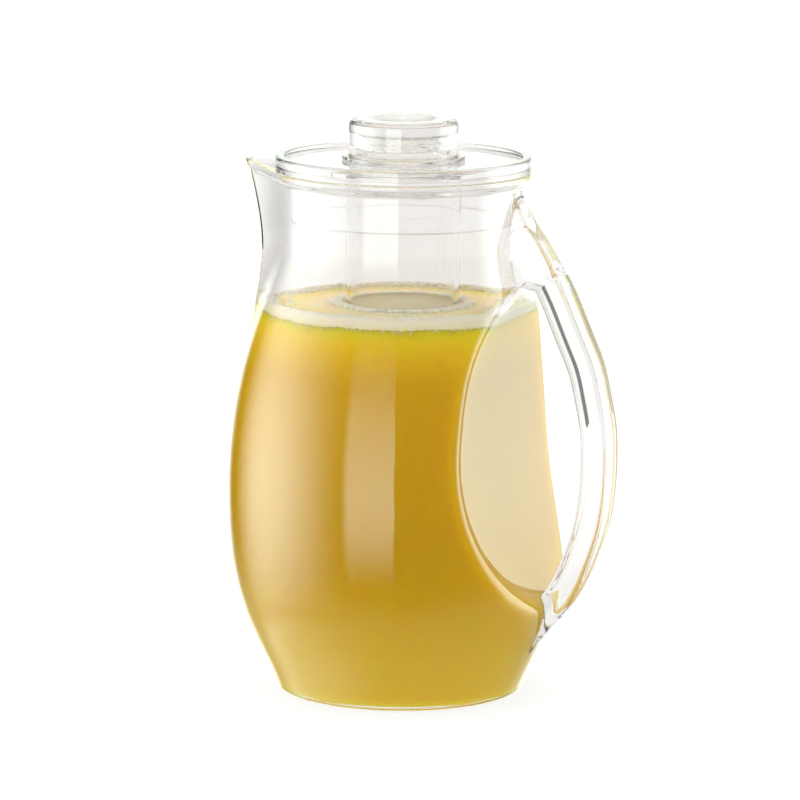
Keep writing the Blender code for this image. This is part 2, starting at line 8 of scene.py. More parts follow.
import bpy
import mathutils
import numpy as np
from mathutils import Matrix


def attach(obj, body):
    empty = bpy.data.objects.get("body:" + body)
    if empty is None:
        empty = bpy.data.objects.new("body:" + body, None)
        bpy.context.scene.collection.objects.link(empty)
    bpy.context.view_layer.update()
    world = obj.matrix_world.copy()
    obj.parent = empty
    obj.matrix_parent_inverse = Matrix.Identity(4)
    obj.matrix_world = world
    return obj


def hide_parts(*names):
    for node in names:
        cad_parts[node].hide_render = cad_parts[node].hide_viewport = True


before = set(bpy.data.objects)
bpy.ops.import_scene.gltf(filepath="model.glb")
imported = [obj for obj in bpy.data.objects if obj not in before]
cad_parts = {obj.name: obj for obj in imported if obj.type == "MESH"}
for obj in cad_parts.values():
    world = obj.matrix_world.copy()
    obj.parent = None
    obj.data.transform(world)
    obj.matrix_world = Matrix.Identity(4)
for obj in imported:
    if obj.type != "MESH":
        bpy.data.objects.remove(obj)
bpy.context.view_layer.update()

# Sizes of the jug, as the solids have them
WALL = 0.003
FLOOR = 0.0025
FOOT_RADIUS = 0.0506
HEEL_RADIUS = 0.0535
HEEL_HEIGHT = 0.002
BELLY_RADIUS = 0.0747
BELLY_HEIGHT = 0.085
NECK_RADIUS = 0.0518
NECK_HEIGHT = 0.195
RIM_RADIUS = 0.0523
RIM_HEIGHT = 0.2244
BEAD_PROUD = 0.0025
BEAD_HEIGHT = 0.0022
BEAD_CHAMFER = 0.0026
BEAD_FADE = 0.7
RIM_ROUND = 0.0006
FLOOR_FILLET = 0.002
SPOUT_REACH = 0.0718
SPOUT_FLARE = 0.0068
SPOUT_THROAT_HEIGHT = 0.190
SPOUT_START_HEIGHT = 0.115
SPOUT_NOSE_RADIUS = 0.007
SPOUT_RISE = 0.0024
SPOUT_FLARE_POWER = 1.7
SPOUT_THROAT_POWER = 1.35
SPOUT_RISE_POWER = 1.3
SPOUT_HOLLOW_POWER = 0.3
LEAST_NOSE_SHARE = 0.3
RECESS_FLOOR = 0.0469
RECESS_WAIST_HEIGHT = 0.118
RECESS_LOW_DROP = 0.0733
RECESS_LOW_RISE = 0.0207
RECESS_LOW_POWER = 2.2
RECESS_HIGH_CLIMB = 0.0575
RECESS_HIGH_RISE = 0.0090
RECESS_HIGH_POWER = 3.1
CREASE_ROUND = 0.0034
LEAST_CREASE_ANGLE = math.radians(8)
LEAST_COSINE = 0.05
FOOT_EASE = 0.0029
LOW_SLOPE_SHARES = (0.27, 0.41, 0.57)
HIGH_SLOPE_SHARES = (0.57, 0.16)

# The handle: its outer line as shares of the way out and of the way up
HANDLE_REACH = 0.0966
HANDLE_TOP = 0.2185
HANDLE_BOTTOM = 0.0190
HANDLE_THICKNESS = 0.0125
HANDLE_WIDTH = 0.0200
HANDLE_ROOT_WIDTH = 0.0150
HANDLE_SQUARENESS = 7.0
HANDLE_TAPER = 0.13
HANDLE_BULGE = 0.12
HANDLE_ROOT_SHARE = 0.25
HANDLE_SHARP_ANGLE = math.radians(40)
OPENING_TOP = 0.1775
OPENING_BOTTOM = 0.0455
BOND_GAP = 0.0003
HANDLE_OUTLINE = (
    (0.015, 1.000), (0.160, 0.938), (0.290, 0.898), (0.420, 0.852), (0.560, 0.793),
    (0.720, 0.711), (0.855, 0.640), (0.930, 0.573), (0.985, 0.508), (1.000, 0.455),
    (0.997, 0.400), (0.975, 0.340), (0.925, 0.280), (0.830, 0.214), (0.730, 0.160),
    (0.600, 0.110), (0.410, 0.060), (0.190, 0.000),
)

# The lid, the ice tube, the screw cap and its seal
SEAT_GAP = 0.0003
LID_RADIUS = 0.0548
LID_HEIGHT = 0.0065
LID_RING_WIDTH = 0.0042
LID_DISH_DEPTH = 0.0018
LID_DISH_ROUND = 0.0012
LID_PLATE = 0.0030
LID_RING_LEAN = 0.0004
LID_RING_ROUND = 0.0007
LID_EDGE_ROUND = 0.0010
SKIRT_RADIUS = 0.0482
SKIRT_WALL = 0.0022
SKIRT_DEPTH = 0.0212
SKIRT_ROOT_ROUND = 0.0003
SKIRT_EDGE_ROUND = 0.0007
RIB_HEIGHT = 0.0067
RIB_WIDTH = 0.0024
RIB_PROUD = 0.0006
RIB_FADE = 0.001
RIB_SIDE_WITHIN = 0.0002
RIB_COUNT = 4
RIB_START_ANGLE = math.radians(-60)
TUBE_RADIUS = 0.0246
TUBE_DRAFT = 0.0007
TUBE_WALL = 0.0020
TUBE_FLOOR = 0.0025
TUBE_FLOOR_ROUND = 0.0025
TUBE_BOTTOM_ROUND = 0.004
TUBE_BOTTOM_HEIGHT = 0.020
TUBE_SHOULDER_ROUND = 0.002
TUBE_BORE_ROUND = 0.001
TUBE_CLEARANCE = 0.0003
FLANGE_LAP = 0.0018
FLANGE_THICKNESS = 0.0016
FLANGE_ROOT_ROUND = 0.0002
TUBE_NECK_RADIUS = 0.0194
TUBE_NECK_WALL = 0.0022
TUBE_NECK_HEIGHT = 0.0086
THREAD_DEPTH = 0.0009
THREAD_PITCH = 0.0030
THREAD_TURNS = 2
THREAD_START = 0.0014
THREAD_HALF = 0.0008
THREAD_FADE_TURNS = 0.12
THREAD_SIDE_WITHIN = 0.0003
CAP_RADIUS = 0.0235
CAP_HEIGHT = 0.0156
CAP_EDGE_ROUND = 0.0028
CAP_BORE = 0.0207
CAP_DISH_RADIUS = 0.0148
CAP_DISH_FLOOR_RADIUS = 0.0124
CAP_DISH_DEPTH = 0.0020
CAP_DISH_ROUND = 0.0016
CAP_DISH_EDGE_ROUND = 0.0010
SEAL_THICKNESS = 0.0012
SEAL_WIDTH = 0.0030
SEAL_ROUND = SEAL_THICKNESS / 3
SMALL_ROUND = 0.0004

# The juice and its foam
JUICE_OVERLAP = 0.00015
FOAM_OVERLAP = 0.00025
JUICE_LEVEL = 0.1674
JUICE_EDGE = 0.1662
MENISCUS_RISE = 0.0012
MENISCUS_WIDTH = 0.0025
FOAM_TOP = 0.1688
FOAM_BOTTOM = 0.1642
FOAM_WIDTH = 0.0095
FOAM_WIDE_ANGLE = math.radians(-69)
FOAM_NARROW_SHARE = 0.4
FOAM_WIDE_SHARE = 1.25
FOAM_WIDE_POWER = 3
FOAM_RAGGED = 0.0009
FOAM_CROWN_POWER = 3.0
FOAM_INNER_POWER = 4
FOAM_LUMPS = 0.0004
FOAM_UNDER_DEPTH = 4 * FOAM_OVERLAP
COLLAR_WIDTH = 0.0050
COLLAR_LUMPS = 0.3
COLLAR_SINK = 0.0002
COLLAR_DEPTH = 0.001

# Waves round the axis: the seed, the fewest waves and one more than the most. A size is a share.
EDGE_SLOW_WAVES = (5, 4, 70)
EDGE_FINE_WAVES = (6, 70, 300)
EDGE_FINE_SIZE = 2
WIDTH_SLOW_WAVES = (3, 3, 60)
WIDTH_FINE_WAVES = (4, 60, 300)
WIDTH_SLOW_SIZE = 0.4
COLLAR_SLOW_WAVES = (8, 3, 40)
COLLAR_FINE_WAVES = (9, 40, 150)
COLLAR_SLOW_SIZE = 0.6
COLLAR_FINE_SIZE = 1.5
LUMP_WAVES = (20, 90, 300)
LUMP_SIZE = 3
LEAST_WAVE_SIZE = 0.3

# The bubbles. A size range is in shares of the bubble size.
BUBBLE_COUNT = 600
BUBBLE_SEED = 11
BUBBLE_SIZE = 0.0005
BUBBLE_FLATNESS = 0.8
EDGE_BUBBLE_DROP = 0.0005
EDGE_BUBBLE_SIZES = (0.35, 1.0)
TOP_BUBBLE_INSET = 0.001
TOP_BUBBLE_SPREAD = FOAM_WIDTH * 1.3
TOP_BUBBLE_SINK = 0.0003
TOP_BUBBLE_FALL = 0.0012
TOP_BUBBLE_SIZES = (0.4, 1.5)
COLLAR_BUBBLE_GAP = 0.0006
COLLAR_BUBBLE_SPREAD = 0.0016
COLLAR_BUBBLE_RISE = 0.0002
COLLAR_BUBBLE_SIZES = (0.5, 1.7)

# How fine the grids are, and where rows and columns lie as shares of a stretch
RECESS_COLUMNS = 14
CREASE_COLUMNS = (-1, -0.6, -0.35, -0.15, 0, 0.15, 0.35, 0.6)
SIDE_COLUMNS = 62
SPOUT_CROWDING = 0.6
SPOUT_CROWDING_POWER = 1.8
ROW_STEP = 0.0013
FOOT_ROW = 0.5
FLOOR_ROW = 0.6
BEAD_ROWS = 7
RIM_ROWS = (0.25, 0.5, 0.75)
LATHE_COLUMNS = 144
FOAM_COLUMNS = 1000
FOAM_SIDE_ROWS = (0, 0.1, 0.4, 0.7, 0.95)
FOAM_UNDER_ROWS = (0.9, 0.6, 0.35, 0.15)
COLLAR_ROWS = 8
BALL_RINGS = 4
BALL_COLUMNS = 7
ARC_POINTS = 6
FLAT_KEEP = 0.00015
THREAD_ROW = 0.0002
LID_ROW = 0.0016
CAP_ROW = 0.0025
TUBE_ROW = 0.004
HANDLE_STATIONS = 160
HANDLE_COLUMNS = 48
CURVE_SAMPLES = 2000
SPAN_SAMPLES = 40

# Ranges of rows: where they start and end, as shares of a stretch, and how many rows they have
LEVEL_OUTER_ROWS = (0.995, 0.8, 16)
LEVEL_INNER_ROWS = (0.78, 0.03, 40)
FOAM_CROWN_ROWS = (0.02, 1, 11)

# The camera and the light. Light angles are in degrees round from the camera, to its right.
CAMERA_AZIMUTH = math.radians(21.0)
CAMERA_DISTANCE = 2.052
CAMERA_HEIGHT = 0.4828
CAMERA_PITCH = math.radians(9.887)
CAMERA_TURN = math.radians(0.020)
CAMERA_ROLL = math.radians(0.43)
CAMERA_LENS = 217.8
SENSOR_WIDTH = 36.0
NEAREST_SEEN = 0.05
LIGHT_BOUNCES = 24
DIFFUSE_BOUNCES = 8


def new_object(name, data):
    """An object in the scene that holds the data."""
    made = bpy.data.objects.new(name, data)
    bpy.context.collection.objects.link(made)
    return made


def smooth_piece(name, points, faces):
    """An object with a smoothly shaded mesh of an array of points and a list of faces."""
    mesh = bpy.data.meshes.new(name)
    mesh.from_pydata(points.reshape(-1, 3).tolist(), [], faces)
    mesh.update()
    mesh.shade_smooth()
    return new_object(name, mesh)


def around(radius, turn, height):
    """Points at a radius from the axis and a height: r cos t, r sin t, z."""
    radius, turn, height = np.broadcast_arrays(radius, turn, height)
    return np.stack([radius * np.cos(turn), radius * np.sin(turn), height], axis=-1)


def put_mesh(name, points, wrap_rows=False, start_pole=False, end_pole=False):
    """A closed mesh from a (rows, columns, 3) grid whose columns run all the way round.

    With wrap_rows the last row joins the first, as on a ring. A pole is a row of one repeated
    point, which is kept as a single vertex with triangles round it.
    """
    rows, columns = points.shape[:2]
    index = np.arange(rows * columns).reshape(rows, columns)
    if start_pole:
        index[0] = index[0, 0]
    if end_pole:
        index[-1] = index[-1, 0]
    low = index if wrap_rows else index[:-1]
    high = np.roll(index, -1, 0) if wrap_rows else index[1:]
    quads = np.stack([low, np.roll(low, -1, 1), np.roll(high, -1, 1), high], axis=2)
    used, compact = np.unique(quads.reshape(-1, 4), return_inverse=True)
    faces = [tuple(dict.fromkeys(quad)) for quad in compact.reshape(-1, 4).tolist()]
    return smooth_piece(name, points.reshape(-1, 3)[used], faces)


def smooth_step(value):
    """0 below 0, 1 above 1, and 3 v squared - 2 v cubed between."""
    value = np.clip(value, 0, 1)
    return value * value * (3 - 2 * value)


def soft_min(first, second, width):
    """The smaller of two values, with a parabola of that width where they cross."""
    near = np.maximum(width - np.abs(first - second), 0) / width
    return np.minimum(first, second) - near * near * width / 4


def bezier(points):
    """A cubic through four control points, as CURVE_SAMPLES points."""
    t = np.linspace(0, 1, CURVE_SAMPLES)[:, None]
    a, b, c, d = (np.array(p, float) for p in points)
    return a * (1 - t) ** 3 + 3 * b * t * (1 - t) ** 2 + 3 * c * t * t * (1 - t) + d * t ** 3


def body_line():
    """The body's (height, radius) line: two cubics that meet at the belly, then the neck."""
    low = BELLY_HEIGHT - HEEL_HEIGHT
    high = NECK_HEIGHT - BELLY_HEIGHT
    first, slope, second = LOW_SLOPE_SHARES
    third, fourth = HIGH_SLOPE_SHARES
    lower = bezier([
        (HEEL_HEIGHT, HEEL_RADIUS),
        (HEEL_HEIGHT + low * first, HEEL_RADIUS + low * first * slope),
        (BELLY_HEIGHT - low * second, BELLY_RADIUS),
        (BELLY_HEIGHT, BELLY_RADIUS),
    ])
    upper = bezier([
        (BELLY_HEIGHT, BELLY_RADIUS),
        (BELLY_HEIGHT + high * third, BELLY_RADIUS),
        (NECK_HEIGHT - high * fourth, NECK_RADIUS),
        (NECK_HEIGHT, NECK_RADIUS),
    ])
    return np.concatenate([lower, upper[1:], [(RIM_HEIGHT, RIM_RADIUS)]])


BODY_LINE = body_line()


def body_radius(height):
    """The body's radius at a height, straight between the points of its line."""
    return np.interp(height, BODY_LINE[:, 0], BODY_LINE[:, 1])


def spout_reach(height):
    """How far the spout's nose lies from the axis: out from the belly, then flared to the rim."""
    throat_reach = SPOUT_REACH - SPOUT_FLARE
    rise = np.clip((height - SPOUT_START_HEIGHT) / (SPOUT_THROAT_HEIGHT - SPOUT_START_HEIGHT), 0, 1)
    rise = rise ** SPOUT_THROAT_POWER
    throat = body_radius(height) + (throat_reach - body_radius(SPOUT_THROAT_HEIGHT)) * rise
    above = np.clip((height - SPOUT_THROAT_HEIGHT) / (RIM_HEIGHT - SPOUT_THROAT_HEIGHT), 0, 1)
    flare = throat_reach + SPOUT_FLARE * above ** SPOUT_FLARE_POWER
    return np.where(height > SPOUT_THROAT_HEIGHT, flare, throat)


def hull_radius(turn, height, inset):
    """The radius without the recess: a circle joined by two tangents to the spout's nose.

    turn is measured from -X. Past the angle where the tangent touches it is the circle. What
    stands out of the circle is scaled by a power of its own share, which hollows the flanks.
    """
    turn = np.abs(turn)
    circle = body_radius(height) - inset
    nose = np.maximum(SPOUT_NOSE_RADIUS - inset, SPOUT_NOSE_RADIUS * LEAST_NOSE_SHARE)
    centre = np.maximum(spout_reach(height) - inset, circle) - nose
    tilt = np.arccos(np.clip((circle - nose) / centre, -1, 1))
    nose_end = np.arctan2(nose * np.sin(tilt), centre + nose * np.cos(tilt))
    across = np.maximum(nose ** 2 - (centre * np.sin(turn)) ** 2, 0)
    on_nose = centre * np.cos(turn) + np.sqrt(across)
    on_tangent_or_circle = circle / np.cos(np.minimum(turn - tilt, 0))
    radius = np.where(turn < nose_end, on_nose, on_tangent_or_circle)
    share = np.clip((radius - circle) / np.maximum(centre + nose - circle, 1e-6), 0, 1)
    return circle + (radius - circle) * share ** SPOUT_HOLLOW_POWER


def recess_reach(height, inset):
    """The recess's x at a height, moved inward by inset square to its line.

    Below the waist x rises with the drop to a power, and above it with the climb to another.
    """
    drop = np.maximum(RECESS_WAIST_HEIGHT - height, 0) / RECESS_LOW_DROP
    climb = np.maximum(height - RECESS_WAIST_HEIGHT, 0) / RECESS_HIGH_CLIMB
    x = (RECESS_FLOOR + RECESS_LOW_RISE * drop ** RECESS_LOW_POWER
         + RECESS_HIGH_RISE * climb ** RECESS_HIGH_POWER)
    low_slope = (RECESS_LOW_RISE / RECESS_LOW_DROP * RECESS_LOW_POWER
                 * drop ** (RECESS_LOW_POWER - 1))
    high_slope = (RECESS_HIGH_RISE / RECESS_HIGH_CLIMB * RECESS_HIGH_POWER
                  * climb ** (RECESS_HIGH_POWER - 1))
    return x - inset * np.sqrt(1 + (high_slope - low_slope) ** 2)


def wall_radius(turn, height, inset):
    """The jug's radius at an angle from +X: the hull's, cut by the recess's plane x = reach."""
    from_spout = (turn + 2 * math.pi) % (2 * math.pi) - math.pi
    hull = hull_radius(from_spout, height, inset)
    plane = recess_reach(height, inset) / np.maximum(np.cos(turn), LEAST_COSINE)
    return soft_min(hull, plane, CREASE_ROUND)


def skin_columns(height, inset):
    """Column angles from +X for each row of a (rows, 1) height. One column follows the crease.

    Columns are even inside the recess, close together over its rounded edge, and closer again
    towards the spout.
    """
    radius = body_radius(height) - inset
    crease = np.arccos(np.clip(recess_reach(height, inset) / radius, -1, 1))
    crease = np.maximum(crease, LEAST_CREASE_ANGLE)
    side = CREASE_ROUND * 2 / radius
    inner = np.linspace(0, 1, RECESS_COLUMNS, endpoint=False) * (crease - side)
    over = crease + side * np.array(CREASE_COLUMNS)
    way = np.linspace(0, 1, SIDE_COLUMNS)
    crowded = 1 - (1 - way) ** SPOUT_CROWDING_POWER
    way = SPOUT_CROWDING * crowded + (1 - SPOUT_CROWDING) * way
    outer = crease + side + (math.pi - crease - side) * way
    half = np.concatenate([inner, over, outer], axis=1)
    return np.concatenate([half, -half[:, -2:0:-1]], axis=1)


def skin(height, inset, proud=0.0):
    """Rows of the jug's skin as (rows, columns, 3), from one value or one for each row.

    proud moves a row out, less at the spout. Above the neck, what reaches past the lid is
    raised by the rise squared.
    """
    height, inset, proud = np.broadcast_arrays(*(np.atleast_1d(v) for v in (height, inset, proud)))
    height, inset, proud = (v.astype(float)[:, None] for v in (height, inset, proud))
    turns = skin_columns(height, inset)
    radius = wall_radius(turns, height, inset)
    spout = np.clip((radius + inset - body_radius(height)) / (SPOUT_REACH - RIM_RADIUS), 0, 1)
    radius = radius + proud * (1 - BEAD_FADE * spout)
    past = np.clip((radius - LID_RADIUS) / (SPOUT_REACH - LID_RADIUS), 0, 1)
    rise = np.clip((height - NECK_HEIGHT) / (RIM_HEIGHT - NECK_HEIGHT), 0, 1)
    return around(radius, turns, height + SPOUT_RISE * rise ** 2 * past ** SPOUT_RISE_POWER)


def steps(start, end, size=ROW_STEP):
    """Evenly spaced values from start to end, about a size apart, both ends included."""
    return np.linspace(start, end, max(2, int(round(abs(end - start) / size)) + 1))


def rows_of(*parts):
    """One (height, inset, proud) table from parts whose values are numbers or arrays."""
    made = [np.stack(np.broadcast_arrays(*(np.asarray(v, float) for v in part)), axis=-1)
            for part in parts]
    return np.concatenate([np.atleast_2d(part) for part in made])


def pole(height):
    """A row that is one point on the axis."""
    row = np.zeros((1, skin_columns(np.array([[height]]), np.zeros((1, 1))).shape[1], 3))
    row[..., 2] = height
    return row


def jug_body(material):
    """The jug as one surface: foot, outside, bead, rim, inside, floor."""
    quarter = np.linspace(0, math.pi / 2, ARC_POINTS)
    up, back = quarter, quarter[::-1]
    edge = RIM_HEIGHT - BEAD_HEIGHT
    chamfer = np.linspace(0, 1, BEAD_ROWS + 1)[1:]
    flat = np.array(RIM_ROWS)
    fillet = FLOOR_FILLET * (1 - np.array([np.sin(up[1:]), np.cos(up[1:])]))
    rows = rows_of(
        (0.0, FOOT_RADIUS * FOOT_ROW, 0.0),
        (0.0, FOOT_EASE, 0.0),
        (HEEL_HEIGHT * (1 - np.cos(up[1:])), FOOT_EASE * (1 - np.sin(up[1:])), 0.0),
        (steps(HEEL_HEIGHT, NECK_HEIGHT)[1:], 0.0, 0.0),
        (steps(NECK_HEIGHT, edge - BEAD_CHAMFER)[1:], 0.0, 0.0),
        (edge - BEAD_CHAMFER * (1 - chamfer), 0.0, BEAD_PROUD * smooth_step(chamfer)),
        (RIM_HEIGHT - RIM_ROUND * (1 - np.sin(up)), 0.0, BEAD_PROUD - RIM_ROUND * (1 - np.cos(up))),
        (RIM_HEIGHT, flat * WALL, (1 - flat) * (BEAD_PROUD - RIM_ROUND) + flat * RIM_ROUND),
        (RIM_HEIGHT - RIM_ROUND * (1 - np.sin(back)), WALL, RIM_ROUND * (1 - np.cos(back))),
        (steps(RIM_HEIGHT - RIM_ROUND, NECK_HEIGHT)[1:], WALL, 0.0),
        (steps(NECK_HEIGHT, FLOOR + FLOOR_FILLET)[1:], WALL, 0.0),
        (FLOOR + fillet[0], WALL + fillet[1], 0.0),
        (FLOOR, FOOT_RADIUS * FLOOR_ROW, 0.0),
    )
    points = np.concatenate([pole(0.0), skin(*rows.T), pole(FLOOR)])
    piece = put_mesh("jug_body_clear", points, start_pole=True, end_pole=True)
    return finish_piece(piece, "jug", material, "clear_plastic", "jug_body")


def finish_piece(piece, body, material, slot, *nodes):
    """Gives a piece its material, the body that it rides on and the nodes it replaces. Its slot is
    not used.
    """
    piece.data.materials.append(material)
    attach(piece, body)
    if nodes:
        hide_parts(*nodes)
    return piece


def ripple(turn, seed, low, high):
    """An uneven line round the axis, within -1 to 1: cosines of whole numbers of waves."""
    random = np.random.default_rng(seed)
    waves = np.arange(low, high)
    phase = random.uniform(0, 2 * math.pi, len(waves))
    size = random.uniform(LEAST_WAVE_SIZE, 1.0, len(waves)) / np.sqrt(waves)
    made = (np.cos(turn[..., None] * waves + phase) * size).sum(-1)
    return made / np.abs(size).sum() * 2


def foam_edge(turn):
    """The height on the wall where the foam starts: slow waves and fine ones round the axis."""
    waves = ripple(turn, *EDGE_SLOW_WAVES) + EDGE_FINE_SIZE * ripple(turn, *EDGE_FINE_WAVES)
    return FOAM_BOTTOM + FOAM_RAGGED * waves


def lumps(turn, rows):
    """Fine bubbles' unevenness: another line of fine waves for each row."""
    seed, low, high = LUMP_WAVES
    return np.concatenate([LUMP_SIZE * ripple(turn, seed + k, low, high) for k in range(len(rows))])


def juice_surface(away):
    """The juice's height at a distance in from the wall: from its edge smoothly to its level."""
    return JUICE_EDGE + (JUICE_LEVEL - JUICE_EDGE) * smooth_step(away / FOAM_WIDTH)


def juice(material):
    """The juice as one closed surface, up the wall's inside and in over its level.

    Its level dips under the foam along the wall, and the meniscus raises it at the ice tube by
    exp(-distance / width). It runs on inside the tube, where the photo shows it.
    """
    inset = WALL - JUICE_OVERLAP
    quarter = np.linspace(0, math.pi / 2, ARC_POINTS)[1:]
    fillet = FLOOR_FILLET * (1 - np.array([np.cos(quarter), np.sin(quarter)]))
    bottom = FLOOR - JUICE_OVERLAP
    side = rows_of(
        (bottom, inset + FLOOR_FILLET * 2, 0.0),
        (bottom, inset + FLOOR_FILLET, 0.0),
        (bottom + fillet[0], inset + fillet[1], 0.0),
        (steps(bottom + FLOOR_FILLET, JUICE_EDGE)[1:], inset, 0.0),
    )
    rim = skin(JUICE_EDGE, inset)
    turn = np.arctan2(rim[..., 1], rim[..., 0])
    wall = np.hypot(rim[..., 0], rim[..., 1])
    share = np.concatenate([np.linspace(*LEVEL_OUTER_ROWS), np.linspace(*LEVEL_INNER_ROWS)])
    radius = wall * share[:, None]
    climb = MENISCUS_RISE * np.exp(-np.abs(radius - TUBE_RADIUS) / MENISCUS_WIDTH)
    level = around(radius, turn, juice_surface(wall - radius) + climb)
    points = np.concatenate([pole(bottom), skin(*side.T), level, pole(JUICE_LEVEL)])
    piece = put_mesh("juice_filling", points, start_pole=True, end_pole=True)
    return finish_piece(piece, "jug", material, "orange_juice", "juice")


def foam_ring(material):
    """The foam along the wall: a closed band with an uneven lower edge and inner edge.

    Its section goes up the wall, in over a crown that falls off as 1 - way to a power, and back
    just under the juice's surface. Its width is a share all round, and more by a power of the
    cosine of the angle from where it is widest.
    """
    inset = WALL - FOAM_OVERLAP
    turn = np.linspace(0, 2 * math.pi, FOAM_COLUMNS, endpoint=False)[None]
    low = foam_edge(turn)
    up = np.array(FOAM_SIDE_ROWS)[:, None]
    side_height = low + (FOAM_TOP - low) * up
    side_radius = wall_radius(turn, side_height, inset)
    side_radius[0] -= FOAM_OVERLAP / 2
    way = np.linspace(*FOAM_CROWN_ROWS)[:, None]
    waves = WIDTH_SLOW_SIZE * ripple(turn, *WIDTH_SLOW_WAVES) + ripple(turn, *WIDTH_FINE_WAVES)
    wide = np.maximum(np.cos(turn - FOAM_WIDE_ANGLE), 0) ** FOAM_WIDE_POWER
    width = FOAM_WIDTH * (1 + waves) * (FOAM_NARROW_SHARE + FOAM_WIDE_SHARE * wide)
    crown_radius = wall_radius(turn, FOAM_TOP, inset) - width * way
    inner = way ** FOAM_INNER_POWER
    crown_height = JUICE_LEVEL + (FOAM_TOP - JUICE_LEVEL) * (1 - way ** FOAM_CROWN_POWER)
    crown_height = crown_height + (juice_surface(width) - JUICE_LEVEL - FOAM_OVERLAP) * inner
    crown_height = crown_height + FOAM_LUMPS * lumps(turn, way) * (1 - inner)
    under = np.array(FOAM_UNDER_ROWS)[:, None]
    under_radius = wall_radius(turn, low, inset) - width * under
    under_height = juice_surface(width * under) - FOAM_UNDER_DEPTH
    radius = np.concatenate([side_radius, crown_radius, under_radius])
    height = np.concatenate([side_height, crown_height, under_height])
    piece = put_mesh("juice_foam_ring", around(radius, turn, height), wrap_rows=True)
    return finish_piece(piece, "jug", material, "juice_foam", "juice_foam")


def foam_collar(material):
    """Foam round the ice tube: a low uneven ring, a half circle in section."""
    turn = np.linspace(0, 2 * math.pi, FOAM_COLUMNS // 2, endpoint=False)[None]
    way = np.linspace(0, math.pi, COLLAR_ROWS)[:, None]
    slow, fine = ripple(turn, *COLLAR_SLOW_WAVES), ripple(turn, *COLLAR_FINE_WAVES)
    width = COLLAR_WIDTH * (1 + COLLAR_SLOW_SIZE * slow + COLLAR_FINE_SIZE * fine)
    radius = TUBE_RADIUS + TUBE_CLEARANCE + width * (1 - np.cos(way)) / 2
    rise = (FOAM_TOP - JUICE_LEVEL) * (1 + COLLAR_LUMPS * lumps(turn, way))
    height = JUICE_LEVEL - COLLAR_SINK + rise * np.sin(way)
    height = np.concatenate([height, np.full_like(turn, JUICE_LEVEL - COLLAR_DEPTH)])
    middle = COLLAR_ROWS // 2
    radius = np.concatenate([radius, radius[middle:middle + 1]])
    points = around(radius, turn, height)
    piece = put_mesh("juice_foam_collar", points[::-1], wrap_rows=True)
    return finish_piece(piece, "jug", material, "juice_foam")


def scatter_balls(name, centres, sizes, flatness):
    """One mesh of many small balls: the unit ball scaled and moved to each centre."""
    lean = np.linspace(0, math.pi, BALL_RINGS + 2)[1:-1, None]
    turn = np.linspace(0, 2 * math.pi, BALL_COLUMNS, endpoint=False)[None]
    ring = around(np.sin(lean), turn, np.cos(lean)).reshape(-1, 3)
    ball = np.concatenate([[(0, 0, 1)], ring, [(0, 0, -1)]])
    index = 1 + np.arange(len(ring)).reshape(BALL_RINGS, BALL_COLUMNS)
    after = np.roll(index, -1, 1)
    sides = np.stack([index[:-1], index[1:], after[1:], after[:-1]], axis=2).reshape(-1, 4)
    caps = [(0, a, b) for a, b in zip(index[0], after[0])]
    caps += [(len(ring) + 1, b, a) for a, b in zip(index[-1], after[-1])]
    points = centres[:, None] + ball * sizes[:, None, None] * np.array([1, 1, flatness])
    shift = len(ball) * np.arange(len(centres))[:, None, None]
    faces = (np.array(sides)[None] + shift).reshape(-1, 4).tolist()
    faces += (np.array(caps)[None] + shift).reshape(-1, 3).tolist()
    return smooth_piece(name, points, faces)


def bubbles(material):
    """Bubbles at the foam's lower edge on the wall, on its top and round the ice tube.

    Those on top sink with the square of their way in from the wall.
    """
    random = np.random.default_rng(BUBBLE_SEED)

    def placed(turn, radius, height, count, sizes):
        """Bubbles' centres, and their sizes, evenly spread over a range."""
        return around(radius, turn, height), BUBBLE_SIZE * random.uniform(*sizes, count)

    turn = random.uniform(0, 2 * math.pi, BUBBLE_COUNT)
    low = foam_edge(turn) - random.exponential(EDGE_BUBBLE_DROP, BUBBLE_COUNT)
    edge = placed(turn, wall_radius(turn, low, WALL), low, BUBBLE_COUNT, EDGE_BUBBLE_SIZES)
    turn = random.uniform(0, 2 * math.pi, BUBBLE_COUNT)
    away = random.uniform(TOP_BUBBLE_INSET, TOP_BUBBLE_SPREAD, BUBBLE_COUNT)
    fall = TOP_BUBBLE_FALL * np.clip(away / FOAM_WIDTH, 0, 1) ** 2
    top = placed(turn, wall_radius(turn, JUICE_LEVEL, WALL) - away,
                 FOAM_TOP - TOP_BUBBLE_SINK - fall, BUBBLE_COUNT, TOP_BUBBLE_SIZES)
    count = BUBBLE_COUNT // 2
    turn = random.uniform(0, 2 * math.pi, count)
    radius = TUBE_RADIUS + COLLAR_BUBBLE_GAP + random.exponential(COLLAR_BUBBLE_SPREAD, count)
    collar = placed(turn, radius, JUICE_LEVEL + COLLAR_BUBBLE_RISE, count, COLLAR_BUBBLE_SIZES)
    centres, sizes = (np.concatenate(parts) for parts in zip(edge, top, collar))
    piece = scatter_balls("juice_bubbles", centres, sizes, BUBBLE_FLATNESS)
    return finish_piece(piece, "jug", material, "juice_foam")


